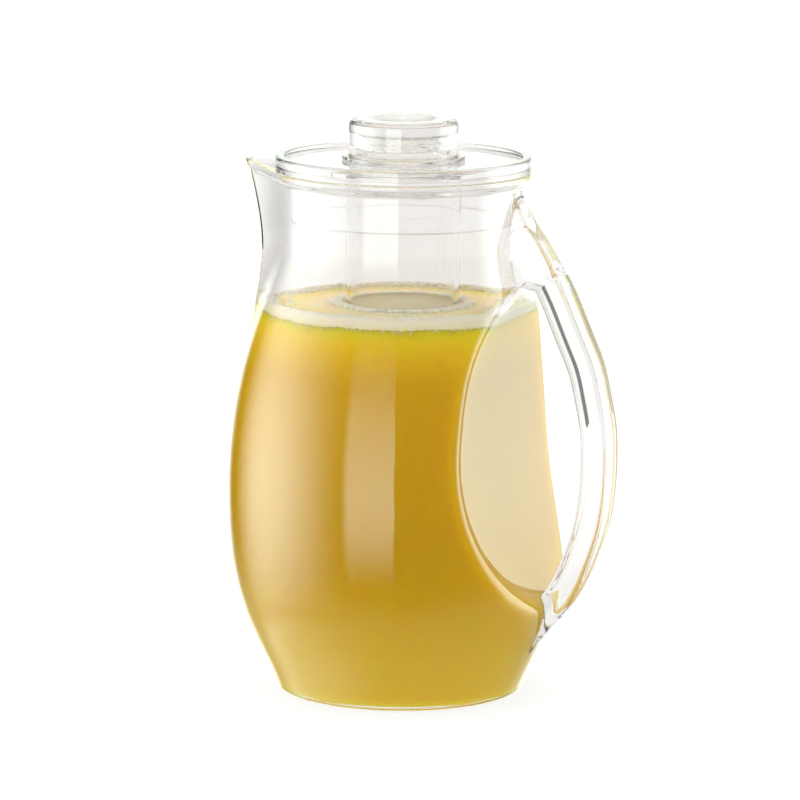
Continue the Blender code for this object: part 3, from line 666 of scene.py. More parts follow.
def rounded(corners, closed=True):
    """A (radius, height) outline from (radius, height, rounding) corners.

    Each corner becomes an arc that touches both its sides, with a point close by on each side
    to keep the sides flat.
    """
    corners = np.array(corners, float)
    places, sizes = corners[:, :2], corners[:, 2]
    outline = []
    for k, (place, size) in enumerate(zip(places, sizes)):
        ends = (not closed) and k in (0, len(places) - 1)
        if size == 0 or ends:
            outline.append(place[None])
            continue
        before = places[k - 1] - place
        after = places[(k + 1) % len(places)] - place
        before /= np.linalg.norm(before)
        after /= np.linalg.norm(after)
        half = math.acos(float(np.clip(before @ after, -1, 1))) / 2
        centre = place + (before + after) / np.linalg.norm(before + after) * size / math.sin(half)
        first = place + before * size / math.tan(half)
        last = place + after * size / math.tan(half)
        start = math.atan2(*(first - centre)[::-1])
        sweep = math.atan2(*(last - centre)[::-1]) - start
        sweep = (sweep + math.pi) % (2 * math.pi) - math.pi
        turn = start + sweep * np.linspace(0, 1, ARC_POINTS)
        bend = centre + size * np.stack([np.cos(turn), np.sin(turn)], axis=1)
        outline += [first[None] + before * FLAT_KEEP, bend, last[None] + after * FLAT_KEEP]
    return np.concatenate(outline)


def turned(name, outline, relief=None):
    """A surface turned round Z from a (radius, height) outline that runs clockwise.

    An outline that starts and ends on the axis has a pole at each end. One that stays off the
    axis closes on itself. relief(turn, radius, height) is added to the radius.
    """
    turn = np.linspace(0, 2 * math.pi, LATHE_COLUMNS, endpoint=False)[None]
    radius, height = outline[:, 0:1], outline[:, 1:2]
    on_axis = outline[0, 0] == 0
    if relief is not None:
        radius = radius + relief(turn, radius, height)
    points = around(radius, turn, height)
    return put_mesh(name, points[::-1], wrap_rows=not on_axis, start_pole=on_axis, end_pole=on_axis)


def refined(outline, step):
    """The same outline with extra points, so that no straight stretch is longer than step."""
    made = []
    for a, b in zip(outline[:-1], outline[1:]):
        count = max(1, int(math.ceil(np.linalg.norm(b - a) / step)))
        made.append(a + (b - a) * np.linspace(0, 1, count, endpoint=False)[:, None])
    return np.concatenate(made + [outline[-1:]])


LID_UNDERSIDE = RIM_HEIGHT + SEAT_GAP
LID_TOP = LID_UNDERSIDE + LID_HEIGHT
LID_DISH = LID_TOP - LID_DISH_DEPTH
PLATE_UNDERSIDE = LID_DISH - LID_PLATE
SKIRT_BOTTOM = LID_UNDERSIDE - SKIRT_DEPTH
HOLE_RADIUS = TUBE_RADIUS + TUBE_CLEARANCE
FLANGE_UNDERSIDE = LID_DISH + SEAT_GAP
FLANGE_TOP = FLANGE_UNDERSIDE + FLANGE_THICKNESS
TUBE_TOP = FLANGE_TOP + TUBE_NECK_HEIGHT
CAP_UNDERSIDE = FLANGE_TOP + SEAT_GAP
CAP_TOP = CAP_UNDERSIDE + CAP_HEIGHT
SEAL_UNDERSIDE = TUBE_TOP + SEAT_GAP
CAP_CEILING = SEAL_UNDERSIDE + SEAL_THICKNESS + SEAT_GAP


def lid(material):
    """The lid: a dished plate with a raised ring and a skirt that carries the friction ribs."""
    ring = LID_RADIUS - LID_RING_WIDTH
    inside = SKIRT_RADIUS - SKIRT_WALL
    outline = rounded([
        (HOLE_RADIUS, LID_DISH, SMALL_ROUND),
        (ring, LID_DISH, LID_DISH_ROUND),
        (ring + LID_RING_LEAN, LID_TOP, LID_RING_ROUND),
        (LID_RADIUS, LID_TOP, LID_EDGE_ROUND),
        (LID_RADIUS, LID_UNDERSIDE, SMALL_ROUND),
        (SKIRT_RADIUS, LID_UNDERSIDE, SKIRT_ROOT_ROUND),
        (SKIRT_RADIUS, SKIRT_BOTTOM, SKIRT_EDGE_ROUND),
        (inside, SKIRT_BOTTOM, SKIRT_EDGE_ROUND),
        (inside, PLATE_UNDERSIDE, LID_DISH_ROUND),
        (HOLE_RADIUS, PLATE_UNDERSIDE, SMALL_ROUND),
    ])
    outline = refined(np.concatenate([outline, outline[:1]]), LID_ROW)[:-1]

    def ribs(turn, radius, height):
        """A rib is full within half its width of its angle, then falls off over as much."""
        spacing = 2 * math.pi / RIB_COUNT
        away = (turn - RIB_START_ANGLE + spacing / 2) % spacing - spacing / 2
        across = smooth_step(2 - np.abs(away) * radius / (RIB_WIDTH / 2))
        low = LID_UNDERSIDE - RIB_HEIGHT
        along = smooth_step((height - low) / RIB_FADE) * (height < LID_UNDERSIDE - RIB_SIDE_WITHIN)
        outer = np.abs(radius - SKIRT_RADIUS) < RIB_SIDE_WITHIN
        return RIB_PROUD * across * along * outer

    piece = turned("lid_clear", outline, ribs)
    return finish_piece(piece, "lid", material, "clear_plastic", "lid")


def ice_tube(material):
    """The ice tube: a deep cup with a flange and a threaded neck."""
    low = TUBE_RADIUS - TUBE_DRAFT
    inner_floor = TUBE_BOTTOM_HEIGHT + TUBE_FLOOR
    bore = TUBE_NECK_RADIUS - TUBE_NECK_WALL
    outline = rounded([
        (0, inner_floor, 0),
        (low - TUBE_WALL, inner_floor, TUBE_FLOOR_ROUND),
        (TUBE_RADIUS - TUBE_WALL, FLANGE_UNDERSIDE - TUBE_WALL, TUBE_SHOULDER_ROUND),
        (bore, FLANGE_UNDERSIDE + FLANGE_THICKNESS / 2, TUBE_BORE_ROUND),
        (bore, TUBE_TOP, SMALL_ROUND),
        (TUBE_NECK_RADIUS, TUBE_TOP, SMALL_ROUND),
        (TUBE_NECK_RADIUS, FLANGE_TOP, SMALL_ROUND),
        (TUBE_RADIUS + FLANGE_LAP, FLANGE_TOP, SMALL_ROUND),
        (TUBE_RADIUS + FLANGE_LAP, FLANGE_UNDERSIDE, SMALL_ROUND),
        (TUBE_RADIUS, FLANGE_UNDERSIDE, FLANGE_ROOT_ROUND),
        (TUBE_RADIUS, PLATE_UNDERSIDE, 0),
        (low, TUBE_BOTTOM_HEIGHT, TUBE_BOTTOM_ROUND),
        (0, TUBE_BOTTOM_HEIGHT, 0),
    ], closed=False)
    on_neck = np.abs(outline[:, 0] - TUBE_NECK_RADIUS) < SMALL_ROUND
    on_neck &= outline[:, 1] > FLANGE_TOP
    outline = np.concatenate([
        refined(outline[k:k + 2], THREAD_ROW if on_neck[k:k + 2].all() else TUBE_ROW)[:-1]
        for k in range(len(outline) - 1)] + [outline[-1:]])

    def thread(turn, radius, height):
        """The thread falls off smoothly from a helix, and fades at the helix's ends."""
        start = FLANGE_TOP + THREAD_START
        turns = (height - start) / THREAD_PITCH
        nearest = np.round(turns - turn / (2 * math.pi)) + turn / (2 * math.pi)
        away = np.abs(turns - nearest) * THREAD_PITCH
        left = THREAD_TURNS - nearest
        fade = smooth_step(nearest / THREAD_FADE_TURNS) * smooth_step(left / THREAD_FADE_TURNS)
        outer = np.abs(radius - TUBE_NECK_RADIUS) < THREAD_SIDE_WITHIN
        return THREAD_DEPTH * smooth_step(2 - away / (THREAD_HALF / 2)) * fade * outer

    piece = turned("ice_tube_clear", outline, thread)
    return finish_piece(piece, "ice_tube", material, "clear_plastic", "ice_tube")


def screw_cap(material):
    """The screw cap: a round knob with a dished top and a bore from below."""
    outline = rounded([
        (0, CAP_TOP - CAP_DISH_DEPTH, 0),
        (CAP_DISH_FLOOR_RADIUS, CAP_TOP - CAP_DISH_DEPTH, CAP_DISH_ROUND),
        (CAP_DISH_RADIUS, CAP_TOP, CAP_DISH_EDGE_ROUND),
        (CAP_RADIUS, CAP_TOP, CAP_EDGE_ROUND),
        (CAP_RADIUS, CAP_UNDERSIDE, SMALL_ROUND),
        (CAP_BORE, CAP_UNDERSIDE, SMALL_ROUND),
        (CAP_BORE, CAP_CEILING, SMALL_ROUND),
        (0, CAP_CEILING, 0),
    ], closed=False)
    piece = turned("screw_cap_clear", refined(outline, CAP_ROW))
    return finish_piece(piece, "screw_cap", material, "clear_plastic", "screw_cap")


def cap_seal(material):
    """The seal: a flat ring with rounded edges on the tube's neck."""
    inner = TUBE_NECK_RADIUS - SEAL_WIDTH
    top = SEAL_UNDERSIDE + SEAL_THICKNESS
    outline = rounded([
        (inner, top, SEAL_ROUND),
        (TUBE_NECK_RADIUS, top, SEAL_ROUND),
        (TUBE_NECK_RADIUS, SEAL_UNDERSIDE, SEAL_ROUND),
        (inner, SEAL_UNDERSIDE, SEAL_ROUND),
    ])
    piece = turned("cap_seal_ring", outline)
    return finish_piece(piece, "cap_seal", material, "clear_silicone", "cap_seal")


def smooth_through(points, count):
    """Evenly spaced points on a Catmull-Rom curve through the given ones."""
    padded = np.concatenate([[2 * points[0] - points[1]], points, [2 * points[-1] - points[-2]]])
    t = np.linspace(0, 1, SPAN_SAMPLES, endpoint=False)[:, None]
    made = [0.5 * (2 * b + (c - a) * t + (2 * a - 5 * b + 4 * c - d) * t ** 2
                   + (3 * b - a - 3 * c + d) * t ** 3)
            for a, b, c, d in zip(padded, padded[1:], padded[2:], padded[3:])]
    dense = np.concatenate(made + [points[-1:]])
    walked = np.concatenate([[0], np.cumsum(np.linalg.norm(np.diff(dense, axis=0), axis=1))])
    even = np.linspace(0, walked[-1], count)
    return np.stack([np.interp(even, walked, dense[:, k]) for k in range(2)], axis=1)


def handle(material):
    """The bar handle: superellipse sections along its outer line, seated on the jug's wall.

    A section runs a thickness in from the outer line, and at the roots all the way to the wall.
    It narrows outwards by the taper, and its outer face bulges by a share of the thickness. What
    would lie in the jug is moved out to its wall, twice, because the wall's radius depends on it.
    """
    shares = np.array(HANDLE_OUTLINE)
    outer = smooth_through(np.stack([
        NECK_RADIUS + shares[:, 0] * (HANDLE_REACH - NECK_RADIUS),
        HANDLE_BOTTOM + shares[:, 1] * (HANDLE_TOP - HANDLE_BOTTOM)], axis=1), HANDLE_STATIONS)
    along = np.gradient(outer, axis=0)
    along /= np.linalg.norm(along, axis=1)[:, None]
    inner = outer + np.stack([along[:, 1], -along[:, 0]], axis=1) * HANDLE_THICKNESS
    root = (inner[:, 1] > OPENING_TOP) | (inner[:, 1] < OPENING_BOTTOM)
    inner[root, 0] = RECESS_FLOOR - WALL
    station = np.linspace(0, 1, HANDLE_STATIONS)
    full = smooth_step(station / HANDLE_ROOT_SHARE) * smooth_step((1 - station) / HANDLE_ROOT_SHARE)
    width = HANDLE_ROOT_WIDTH + (HANDLE_WIDTH - HANDLE_ROOT_WIDTH) * full
    phase = np.linspace(0, 2 * math.pi, HANDLE_COLUMNS, endpoint=False)[None]
    power = 2 / HANDLE_SQUARENESS
    across = np.sign(np.cos(phase)) * np.abs(np.cos(phase)) ** power
    sideways = np.sign(np.sin(phase)) * np.abs(np.sin(phase)) ** power
    middle = (outer + inner) / 2
    arm = (outer - inner) / 2
    bulged = across * (1 - HANDLE_BULGE * sideways ** 2 * (across > 0))
    x = middle[:, 0:1] + arm[:, 0:1] * bulged
    z = middle[:, 1:2] + arm[:, 1:2] * bulged
    y = width[:, None] / 2 * sideways * (1 - HANDLE_TAPER * (across + 1) / 2)
    for _ in range(2):
        turn = np.arctan2(y, x)
        wall = wall_radius(turn, z, -BOND_GAP) * np.cos(turn)
        x = np.maximum(x, wall)
    points = np.stack([x, y, z], axis=2)
    first, last = (row.mean(axis=1, keepdims=True) + 0 * row for row in (points[:1], points[-1:]))
    points = np.concatenate([first, points, last])
    piece = put_mesh("handle_clear", points[::-1], start_pole=True, end_pole=True)
    piece.data.set_sharp_from_angle(angle=HANDLE_SHARP_ANGLE)
    return finish_piece(piece, "jug", material, "clear_plastic", "handle")


# Colours. Of a pair, the first is where the waves, pulp or bubbles are low, the other where high.
PLASTIC_CLEAR = (0.993, 0.991, 0.988, 1)
SILICONE_MILKY = ((0.84, 0.85, 0.84, 1), (0.93, 0.93, 0.92, 1))
JUICE_AMBER = ((0.64, 0.415, 0.019, 1), (0.70, 0.465, 0.025, 1))
# Painted light: the juice's top and foot are made yellower, as if more light fell there
PAINTED_LIGHT_YELLOW = (0.93, 0.73, 0.048, 1)
FROTH_TAN = ((0.76, 0.55, 0.26, 1), (0.87, 0.70, 0.44, 1))
# Froth near the wall: yellower, its own colour, and darker as painted shade against the strong
# light there
NEAR_WALL_TONE_AND_SHADE = (0.70, 0.49, 0.10, 1)
# Painted light: froth inside the ice tube is made brighter, where the tube and cap keep light off
# it
PAINTED_LIGHT_IN_TUBE = (1.0, 0.76, 0.45, 1)
FOAM_YELLOW = ((0.95, 0.82, 0.38, 1), (0.98, 0.93, 0.68, 1))
FOAM_CREAM = ((0.98, 0.88, 0.66, 1), (0.99, 0.955, 0.86, 1))

# Where the juice turns yellow as painted light, or frothy: heights, and distances from the axis
PAINTED_LIGHT_TOP = (0.141, 0.179)
PAINTED_LIGHT_FOOT = (0.075, 0.0)
PAINTED_LIGHT_FOOT_SHARE = 0.7
PULP_SHIFT = 0.006
FROTH_HEIGHTS = (JUICE_LEVEL - 0.0008, JUICE_LEVEL - 0.0002)
PAINTED_LIGHT_TUBE_EDGE = (TUBE_RADIUS - 0.0015, TUBE_RADIUS)
WALL_TONE_AND_SHADE_EDGE = (0.036, 0.050)
CREAM_HEIGHTS = (FOAM_BOTTOM - 0.0005, FOAM_BOTTOM + 0.0025)
SILICONE_ROUGHNESS = 0.25


def new_material(name, settings):
    """A material with some of its shader's inputs set, and these inputs and node helpers."""
    material = bpy.data.materials.new(name)
    material.use_nodes = True
    inputs = material.node_tree.nodes["Principled BSDF"].inputs
    for setting, value in settings.items():
        inputs[setting].default_value = value
    return material, Sums(material.node_tree), inputs


def clear_plastic(moulding):
    """Clear moulded plastic: hardly any waves in its surface, and faint scuffs."""
    material, sums, inputs = new_material("clear_plastic", {
        "Base Color": PLASTIC_CLEAR, "IOR": 1.5, "Transmission Weight": 1.0})
    waves, scuffs = sums.group(moulding, wave_scale=60.0, scuff_scale=240.0, scuff_roughness=0.02)
    sums.links.new(scuffs, inputs["Roughness"])
    sums.links.new(sums.bump(waves, strength=0.08, distance=0.001), inputs["Normal"])
    return material


def clear_silicone(moulding):
    """Milky clear silicone, a little rough."""
    material, sums, inputs = new_material("clear_silicone", {
        "IOR": 1.41, "Transmission Weight": 0.8})
    waves, scuffs = sums.group(moulding, wave_scale=300.0, scuff_scale=600.0, scuff_roughness=0.25)
    sums.links.new(sums.colours(waves, *SILICONE_MILKY), inputs["Base Color"])
    sums.links.new(sums.math("ADD", scuffs, SILICONE_ROUGHNESS), inputs["Roughness"])
    sums.links.new(sums.bump(waves, strength=0.3, distance=0.0003), inputs["Normal"])
    return material


def orange_juice(froth):
    """Orange juice: amber, yellower towards its top and its foot as painted light, with froth on
    its level.
    """
    material, sums, inputs = new_material("orange_juice", {
        "Roughness": 0.45, "IOR": 1.33, "Specular IOR Level": 0.0, "Subsurface Weight": 1.0,
        "Subsurface Radius": (1.0, 0.3, 0.05), "Subsurface Scale": 0.02})
    x, y, z = sums.place_parts()
    pulp = sums.noise(sums.place(), scale=260.0, detail=3.0)
    # Painted light: yellower towards the top and the foot, where the juice looks more brightly lit
    top = sums.ramp(sums.math("MULTIPLY_ADD", pulp, PULP_SHIFT, z), *PAINTED_LIGHT_TOP)
    foot = sums.math("MULTIPLY", sums.ramp(z, *PAINTED_LIGHT_FOOT), PAINTED_LIGHT_FOOT_SHARE)
    low, high = FROTH_HEIGHTS
    bubbles, above = sums.group(froth, bubble_scale=700.0, low_height=low, high_height=high,
                                ragged=0.0002)
    radius = sums.math("SQRT", sums.math("MULTIPLY_ADD", x, x, sums.math("MULTIPLY", y, y)))
    body = sums.colours(pulp, *JUICE_AMBER)
    body = sums.colours(sums.math("MAXIMUM", top, foot), body, PAINTED_LIGHT_YELLOW)
    film = sums.colours(bubbles, *FROTH_TAN)
    # Near the wall the froth is yellower, its own colour, and darker, which is painted shade
    film = sums.colours(sums.ramp(radius, *WALL_TONE_AND_SHADE_EDGE), film, NEAR_WALL_TONE_AND_SHADE)
    # Painted light: brighter froth inside the ice tube
    film = sums.colours(sums.ramp(radius, *PAINTED_LIGHT_TUBE_EDGE), PAINTED_LIGHT_IN_TUBE, film)
    sums.links.new(sums.colours(above, body, film), inputs["Base Color"])
    sums.links.new(sums.bump(pulp, strength=0.2, distance=0.0005), inputs["Normal"])
    return material


def juice_foam(froth):
    """Cream foam of small bubbles, yellower at its lower edge."""
    material, sums, inputs = new_material("juice_foam", {
        "Roughness": 0.5, "Subsurface Weight": 0.5, "Subsurface Radius": (1.0, 0.9, 0.6),
        "Subsurface Scale": 0.0006})
    low, high = CREAM_HEIGHTS
    bubbles, above = sums.group(froth, bubble_scale=1100.0, low_height=low, high_height=high,
                                ragged=0.003)
    yellow, cream = sums.colours(bubbles, *FOAM_YELLOW), sums.colours(bubbles, *FOAM_CREAM)
    sums.links.new(sums.colours(above, yellow, cream), inputs["Base Color"])
    sums.links.new(sums.bump(bubbles, strength=0.5, distance=0.0004), inputs["Normal"])
    return material


class Sums:
    """Short ways to add nodes to a tree: each gives the new node's output."""

    def __init__(self, tree):
        self.nodes, self.links = tree.nodes, tree.links

    def math(self, operation, *values):
        """The result of one sum, such as ADD."""
        node = self.nodes.new("ShaderNodeMath")
        node.operation = operation
        self.join(node.inputs, values)
        return node.outputs[0]

    def join(self, sockets, values):
        """Sets each socket to its value, or links it to its value where that is an output."""
        for socket, value in zip(sockets, values):
            if isinstance(value, (int, float, tuple)):
                socket.default_value = value
            else:
                self.links.new(value, socket)

    def place(self):
        """The place on the piece, in metres."""
        return self.nodes.new("ShaderNodeTexCoord").outputs["Object"]

    def place_parts(self):
        """The place's x, y and z."""
        node = self.nodes.new("ShaderNodeSeparateXYZ")
        self.join(node.inputs, (self.place(),))
        return tuple(node.outputs)

    def noise(self, place, scale, detail):
        """Uneven values from 0 to 1, scale of them to a metre."""
        node = self.nodes.new("ShaderNodeTexNoise")
        self.join((node.inputs["Vector"], node.inputs["Scale"], node.inputs["Detail"]),
                  (place, scale, detail))
        return node.outputs["Fac"]

    def cells(self, place, scale):
        """The distance to the nearest of many scattered points, 0 at a point."""
        node = self.nodes.new("ShaderNodeTexVoronoi")
        self.join((node.inputs["Vector"], node.inputs["Scale"]), (place, scale))
        return node.outputs["Distance"]

    def bump(self, height, strength, distance):
        """The surface's normal as a relief tilts it, whose heights are in distances."""
        node = self.nodes.new("ShaderNodeBump")
        self.join((node.inputs["Height"], node.inputs["Strength"], node.inputs["Distance"]),
                  (height, strength, distance))
        return node.outputs["Normal"]

    def colours(self, share, first, second):
        """The colour a share of the way from the first to the second."""
        node = self.nodes.new("ShaderNodeMix")
        node.data_type = "RGBA"
        self.join((node.inputs[0], node.inputs[6], node.inputs[7]), (share, first, second))
        return node.outputs[2]

    def ramp(self, value, start, end):
        """0 at start and 1 at end, smooth between."""
        node = self.nodes.new("ShaderNodeMapRange")
        node.interpolation_type = "SMOOTHSTEP"
        self.join((node.inputs["Value"], node.inputs["From Min"], node.inputs["From Max"]),
                  (value, start, end))
        return node.outputs["Result"]

    def group(self, group, *values, **named):
        """A group's outputs, from values in its inputs' order or by their names."""
        node = self.nodes.new("ShaderNodeGroup")
        node.node_tree = group
        self.join(node.inputs, values)
        self.join([node.inputs[name.replace("_", " ").title()] for name in named], named.values())
        return tuple(node.outputs)

    def mix(self, share, first, second):
        """The number a share of the way from the first to the second."""
        node = self.nodes.new("ShaderNodeMix")
        self.join((node.inputs["Factor"], node.inputs["A"], node.inputs["B"]),
                  (share, first, second))
        return node.outputs["Result"]


def new_group(name, inputs, outputs):
    """A node group with number sockets by those names, and its inner sockets to link."""
    tree = bpy.data.node_groups.new(name, "ShaderNodeTree")
    for socket in inputs:
        tree.interface.new_socket(socket, in_out="INPUT", socket_type="NodeSocketFloat")
    for socket in outputs:
        tree.interface.new_socket(socket, in_out="OUTPUT", socket_type="NodeSocketFloat")
    ins = tree.nodes.new("NodeGroupInput").outputs
    return tree, ins, tree.nodes.new("NodeGroupOutput").inputs


def moulded_surface_group():
    """A node group for moulded pieces: the height of slow waves, and a roughness in scuffs."""
    tree, ins, outs = new_group("moulded_surface", ("Wave Scale", "Scuff Scale", "Scuff Roughness"),
                                ("Wave Height", "Roughness"))
    sums = Sums(tree)
    place = sums.place()
    waves = sums.noise(place, ins["Wave Scale"], detail=1.0)
    tree.links.new(waves, outs["Wave Height"])
    scuffs = sums.ramp(sums.noise(place, ins["Scuff Scale"], detail=6.0), start=0.55, end=0.75)
    tree.links.new(sums.math("MULTIPLY", scuffs, ins["Scuff Roughness"]), outs["Roughness"])
    return tree


# The froth's small bubbles and its ragged line, as shares of the large bubbles' scale and height
SMALL_BUBBLE_SCALE = 2.4
SMALL_BUBBLE_HEIGHT = 0.7
RAGGED_LINE_SCALE = 0.6
NOISE_MIDDLE = 0.5


def froth_group():
    """A node group for froth: domes of bubbles in two sizes, and what lies above a ragged line."""
    tree, ins, outs = new_group("froth", ("Bubble Scale", "Low Height", "High Height", "Ragged"),
                                ("Bubbles", "Above"))
    sums = Sums(tree)
    place = sums.place()
    small_scale = sums.math("MULTIPLY", ins["Bubble Scale"], SMALL_BUBBLE_SCALE)
    large = sums.ramp(sums.cells(place, ins["Bubble Scale"]), start=0.6, end=0.1)
    small = sums.ramp(sums.cells(place, small_scale), start=0.7, end=0.2)
    small = sums.math("MULTIPLY", small, SMALL_BUBBLE_HEIGHT)
    tree.links.new(sums.math("MAXIMUM", large, small), outs["Bubbles"])
    line_scale = sums.math("MULTIPLY", ins["Bubble Scale"], RAGGED_LINE_SCALE)
    shift = sums.math("SUBTRACT", sums.noise(place, line_scale, detail=4.0), NOISE_MIDDLE)
    height = sums.math("MULTIPLY_ADD", shift, ins["Ragged"], sums.place_parts()[2])
    tree.links.new(sums.ramp(height, ins["Low Height"], ins["High Height"]), outs["Above"])
    return tree


def soft_panel_group():
    """A node group: the light of one panel, which fades smoothly at its four edges.

    Each edge has the angle where the panel starts and the one where it is at full strength.
    """
    names = ("Across", "Up", "Left Start", "Left Full", "Right Full", "Right End",
             "Low Start", "Low Full", "High Full", "High End", "Strength")
    tree, ins, outs = new_group("soft_panel", names, ("Light",))
    sums = Sums(tree)
    light = ins["Strength"]
    edges = (("Across", "Left Start", "Left Full"), ("Across", "Right End", "Right Full"),
             ("Up", "Low Start", "Low Full"), ("Up", "High End", "High Full"))
    for value, start, end in edges:
        light = sums.math("MULTIPLY", light, sums.ramp(ins[value], ins[start], ins[end]))
    tree.links.new(light, outs["Light"])
    return tree


# Panels as the group's inputs: left start and full, right full and end, low start and full,
# high full and end, in degrees, then the strength
SIDE_PANELS = (
    (-143, -95, -90, -36, -42, -6, -5, 38, 6.8),
    (-41, -34, -5, -4, -29, -7, -6, 34, 4.4),
    (70, 95, 105, 172, -34, -12, 15, 60, 5.2),
)
CEILING_PANEL = (-181, -180, 180, 181, 45, 60, 90, 91, 1.4)
LEFT_FLOOR_PANEL = (-152, -125, -105, -10, -92, -91, -52, -46, 1.25)
FLOOR_PANEL = (-181, -180, 180, 181, -92, -91, -46, -32, 0.5)
NARROW_BACKDROP = (150, 166, 180, 181, -91, -90, 90, 91, 1.4)
WIDE_BACKDROP = (95, 118, 180, 181, -91, -90, 90, 91, 0.84)
DARK_LEVEL = 0.02
FLOOR_LEAN = 0.155
REFLECTION_TINT = (0.91, 1.0, 0.92, 1)
BACKDROP_TINT = (1.0, 0.975, 0.945, 1)
WHITE = (1, 1, 1, 1)
WHITE_SEEN = 1.0
THROUGH_LIMIT = 1.0
FIRST_BOUNCE = 0.5
DEGREES = 180 / math.pi

# The soft light: a level, and how it changes to the front, to the right and up
SOFT_LEVEL = 1.85
SOFT_FRONT = -0.5
SOFT_FRONT_SQUARED = -0.85
SOFT_RIGHT = -0.5
SOFT_UP_SQUARED = 1.6


def direction_parts(sums):
    """How far a ray's direction points to the right, to the front and up, -1 to 1 each."""
    rotated = sums.nodes.new("ShaderNodeVectorRotate")
    rotated.rotation_type = "Z_AXIS"
    rotated.inputs["Angle"].default_value = -CAMERA_AZIMUTH
    split = sums.nodes.new("ShaderNodeSeparateXYZ")
    direction = sums.nodes.new("ShaderNodeTexCoord").outputs["Generated"]
    sums.links.new(direction, rotated.inputs["Vector"])
    sums.links.new(rotated.outputs["Vector"], split.inputs["Vector"])
    right, back, up = split.outputs
    return right, sums.math("MULTIPLY", back, -1.0), up


def panel_lights(sums, right, front, up):
    """What mirror-like rays meet and what refracted ones do, by the angles across and up.

    The first is the ceiling, a narrow backdrop and the panels at the sides and on the floor, and
    the second is the ceiling and a wide backdrop, at most THROUGH_LIMIT.
    """
    group = soft_panel_group()
    across = sums.math("MULTIPLY", sums.math("ARCTAN2", right, front), DEGREES)
    raised = sums.math("MULTIPLY", sums.math("ARCSINE", up), DEGREES)
    turned_off = sums.math("ABSOLUTE", across)
    lean = sums.math("MULTIPLY_ADD", turned_off, -FLOOR_LEAN, raised)

    def with_panel(light, over, height, limits):
        """The light and a panel's, by an angle across and one up."""
        return sums.math("ADD", light, sums.group(group, over, height, *limits)[0])

    ceiling = with_panel(DARK_LEVEL, across, raised, CEILING_PANEL)
    mirror = with_panel(ceiling, turned_off, raised, NARROW_BACKDROP)
    for limits in SIDE_PANELS:
        mirror = with_panel(mirror, across, raised, limits)
    for limits in (LEFT_FLOOR_PANEL, FLOOR_PANEL):
        mirror = with_panel(mirror, across, lean, limits)
    through = with_panel(ceiling, turned_off, raised, WIDE_BACKDROP)
    return mirror, sums.math("MINIMUM", through, THROUGH_LIMIT)


def soft_light(sums, right, front, up):
    """The light that a rough surface gathers.

    It is a level, plus a share each of front, of front squared, of right and of up squared.
    """
    light = sums.math("MULTIPLY", sums.math("MULTIPLY", front, front), SOFT_FRONT_SQUARED)
    light = sums.math("ADD", light, sums.math("MULTIPLY_ADD", front, SOFT_FRONT, SOFT_LEVEL))
    light = sums.math("MULTIPLY_ADD", right, SOFT_RIGHT, light)
    return sums.math("MULTIPLY_ADD", sums.math("MULTIPLY", up, up), SOFT_UP_SQUARED, light)


def studio_world():
    """Three surroundings, for reflections, for what shows through, and for soft light.

    The camera itself sees plain white.
    """
    world = bpy.data.worlds.new("studio")
    bpy.context.scene.world = world
    world.use_nodes = True
    sums = Sums(world.node_tree)
    parts = direction_parts(sums)
    mirror, through = panel_lights(sums, *parts)
    ray = sums.nodes.new("ShaderNodeLightPath").outputs
    before = sums.math("LESS_THAN", ray["Diffuse Depth"], FIRST_BOUNCE)
    refracted = ray["Is Transmission Ray"]
    reflected = sums.math("SUBTRACT", ray["Is Glossy Ray"], refracted)
    reflected = sums.math("MULTIPLY", reflected, before)
    total = sums.mix(sums.math("MULTIPLY", refracted, before), soft_light(sums, *parts), through)
    total = sums.mix(reflected, total, mirror)
    total = sums.mix(ray["Is Camera Ray"], total, WHITE_SEEN)
    tint = sums.colours(refracted, WHITE, BACKDROP_TINT)
    tint = sums.colours(reflected, tint, REFLECTION_TINT)
    background = sums.nodes["Background"].inputs
    sums.join((background["Strength"], background["Color"]), (total, tint))


# The floor, and how strongly it glows for the camera, through the plastic and for gathered light
FLOOR_HALF = 6.0
FLOOR_DROP = 0.0002
FLOOR_WHITE = (0.9, 0.9, 0.9, 1)
GLOW_SHARE = 0.85
GLOW_SEEN = 0.97
GLOW_THROUGH = 0.76
GLOW_GATHERED = 1.2


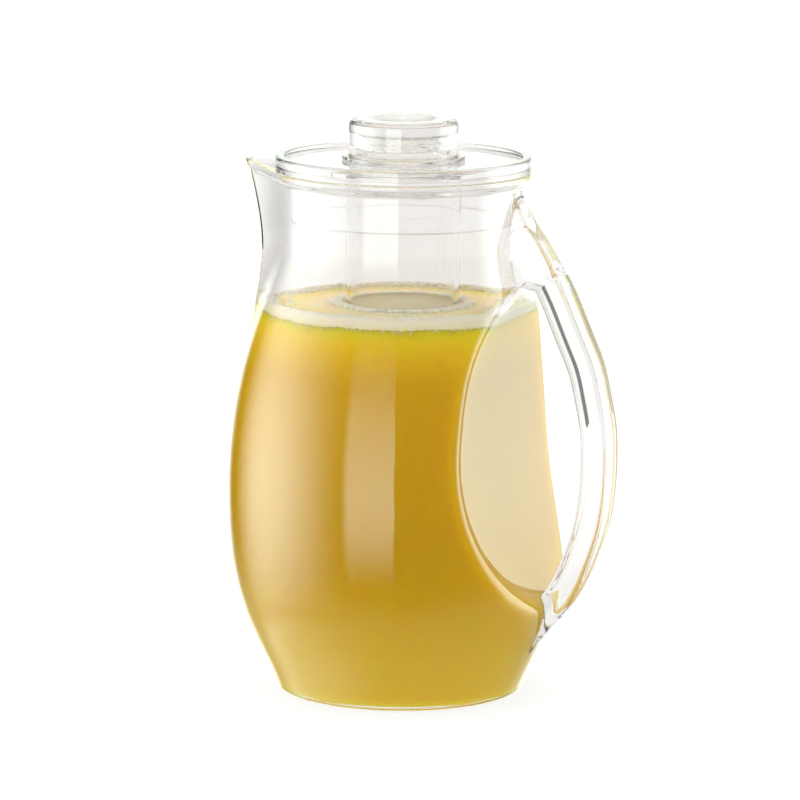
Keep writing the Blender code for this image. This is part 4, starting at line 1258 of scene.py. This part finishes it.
def floor():
    """A wide white floor just under the foot: part of it glows evenly, and the rest is lit.

    The lit part keeps the object's shadow.
    """
    mesh = bpy.data.meshes.new("floor")
    corners = [(x * FLOOR_HALF, y * FLOOR_HALF, 0) for x, y in ((-1, -1), (1, -1), (1, 1), (-1, 1))]
    mesh.from_pydata(corners, [], [(0, 1, 2, 3)])
    piece = new_object("floor", mesh)
    piece.location.z = -FLOOR_DROP
    material, sums, _ = new_material("floor_white", {"Base Color": FLOOR_WHITE, "Roughness": 0.6})
    nodes, links = sums.nodes, sums.links
    light = nodes.new("ShaderNodeLightPath").outputs
    seen = sums.math("MAXIMUM", light["Is Camera Ray"], light["Is Transmission Ray"])
    before = sums.math("LESS_THAN", light["Diffuse Depth"], FIRST_BOUNCE)
    refracted = sums.math("MULTIPLY", light["Is Transmission Ray"], before)
    strength = sums.mix(light["Is Camera Ray"], GLOW_GATHERED, GLOW_SEEN)
    glow = nodes.new("ShaderNodeEmission")
    links.new(sums.mix(refracted, strength, GLOW_THROUGH), glow.inputs["Strength"])
    links.new(sums.colours(refracted, WHITE, BACKDROP_TINT), glow.inputs["Color"])
    mix = nodes.new("ShaderNodeMixShader")
    links.new(sums.math("MULTIPLY", seen, GLOW_SHARE), mix.inputs["Fac"])
    links.new(nodes["Principled BSDF"].outputs["BSDF"], mix.inputs[1])
    links.new(glow.outputs["Emission"], mix.inputs[2])
    links.new(mix.outputs["Shader"], nodes["Material Output"].inputs["Surface"])
    mesh.materials.append(material)
    piece.visible_glossy = False


def camera():
    """The camera, where the photograph was taken from: turned, tipped down and rolled a little."""
    data = bpy.data.cameras.new("camera")
    data.lens = CAMERA_LENS
    data.sensor_width = SENSOR_WIDTH
    data.clip_start = NEAREST_SEEN
    seen_from = new_object("camera", data)
    seen_from.location = (math.sin(CAMERA_AZIMUTH) * CAMERA_DISTANCE,
                          -math.cos(CAMERA_AZIMUTH) * CAMERA_DISTANCE, CAMERA_HEIGHT)
    seen_from.rotation_mode = "XYZ"
    turn = mathutils.Matrix.Rotation(CAMERA_AZIMUTH + CAMERA_TURN, 4, "Z")
    tip = mathutils.Matrix.Rotation(math.pi / 2 - CAMERA_PITCH, 4, "X")
    roll = mathutils.Matrix.Rotation(CAMERA_ROLL, 4, "Z")
    seen_from.rotation_euler = (turn @ tip @ roll).to_euler("XYZ")
    bpy.context.scene.camera = seen_from


camera()
floor()
studio_world()
moulding = moulded_surface_group()
froth = froth_group()
plastic = clear_plastic(moulding)
foam = juice_foam(froth)
jug_body(plastic)
handle(plastic)
juice(orange_juice(froth))
foam_ring(foam)
foam_collar(foam)
bubbles(foam)
lid(plastic)
ice_tube(plastic)
screw_cap(plastic)
cap_seal(clear_silicone(moulding))

bpy.context.scene.view_settings.view_transform = "Standard"
# The lid is seen through more surfaces than the usual limits on light allow
bpy.context.scene.cycles.max_bounces = LIGHT_BOUNCES
bpy.context.scene.cycles.transmission_bounces = LIGHT_BOUNCES
bpy.context.scene.cycles.glossy_bounces = LIGHT_BOUNCES
bpy.context.scene.cycles.diffuse_bounces = DIFFUSE_BOUNCES
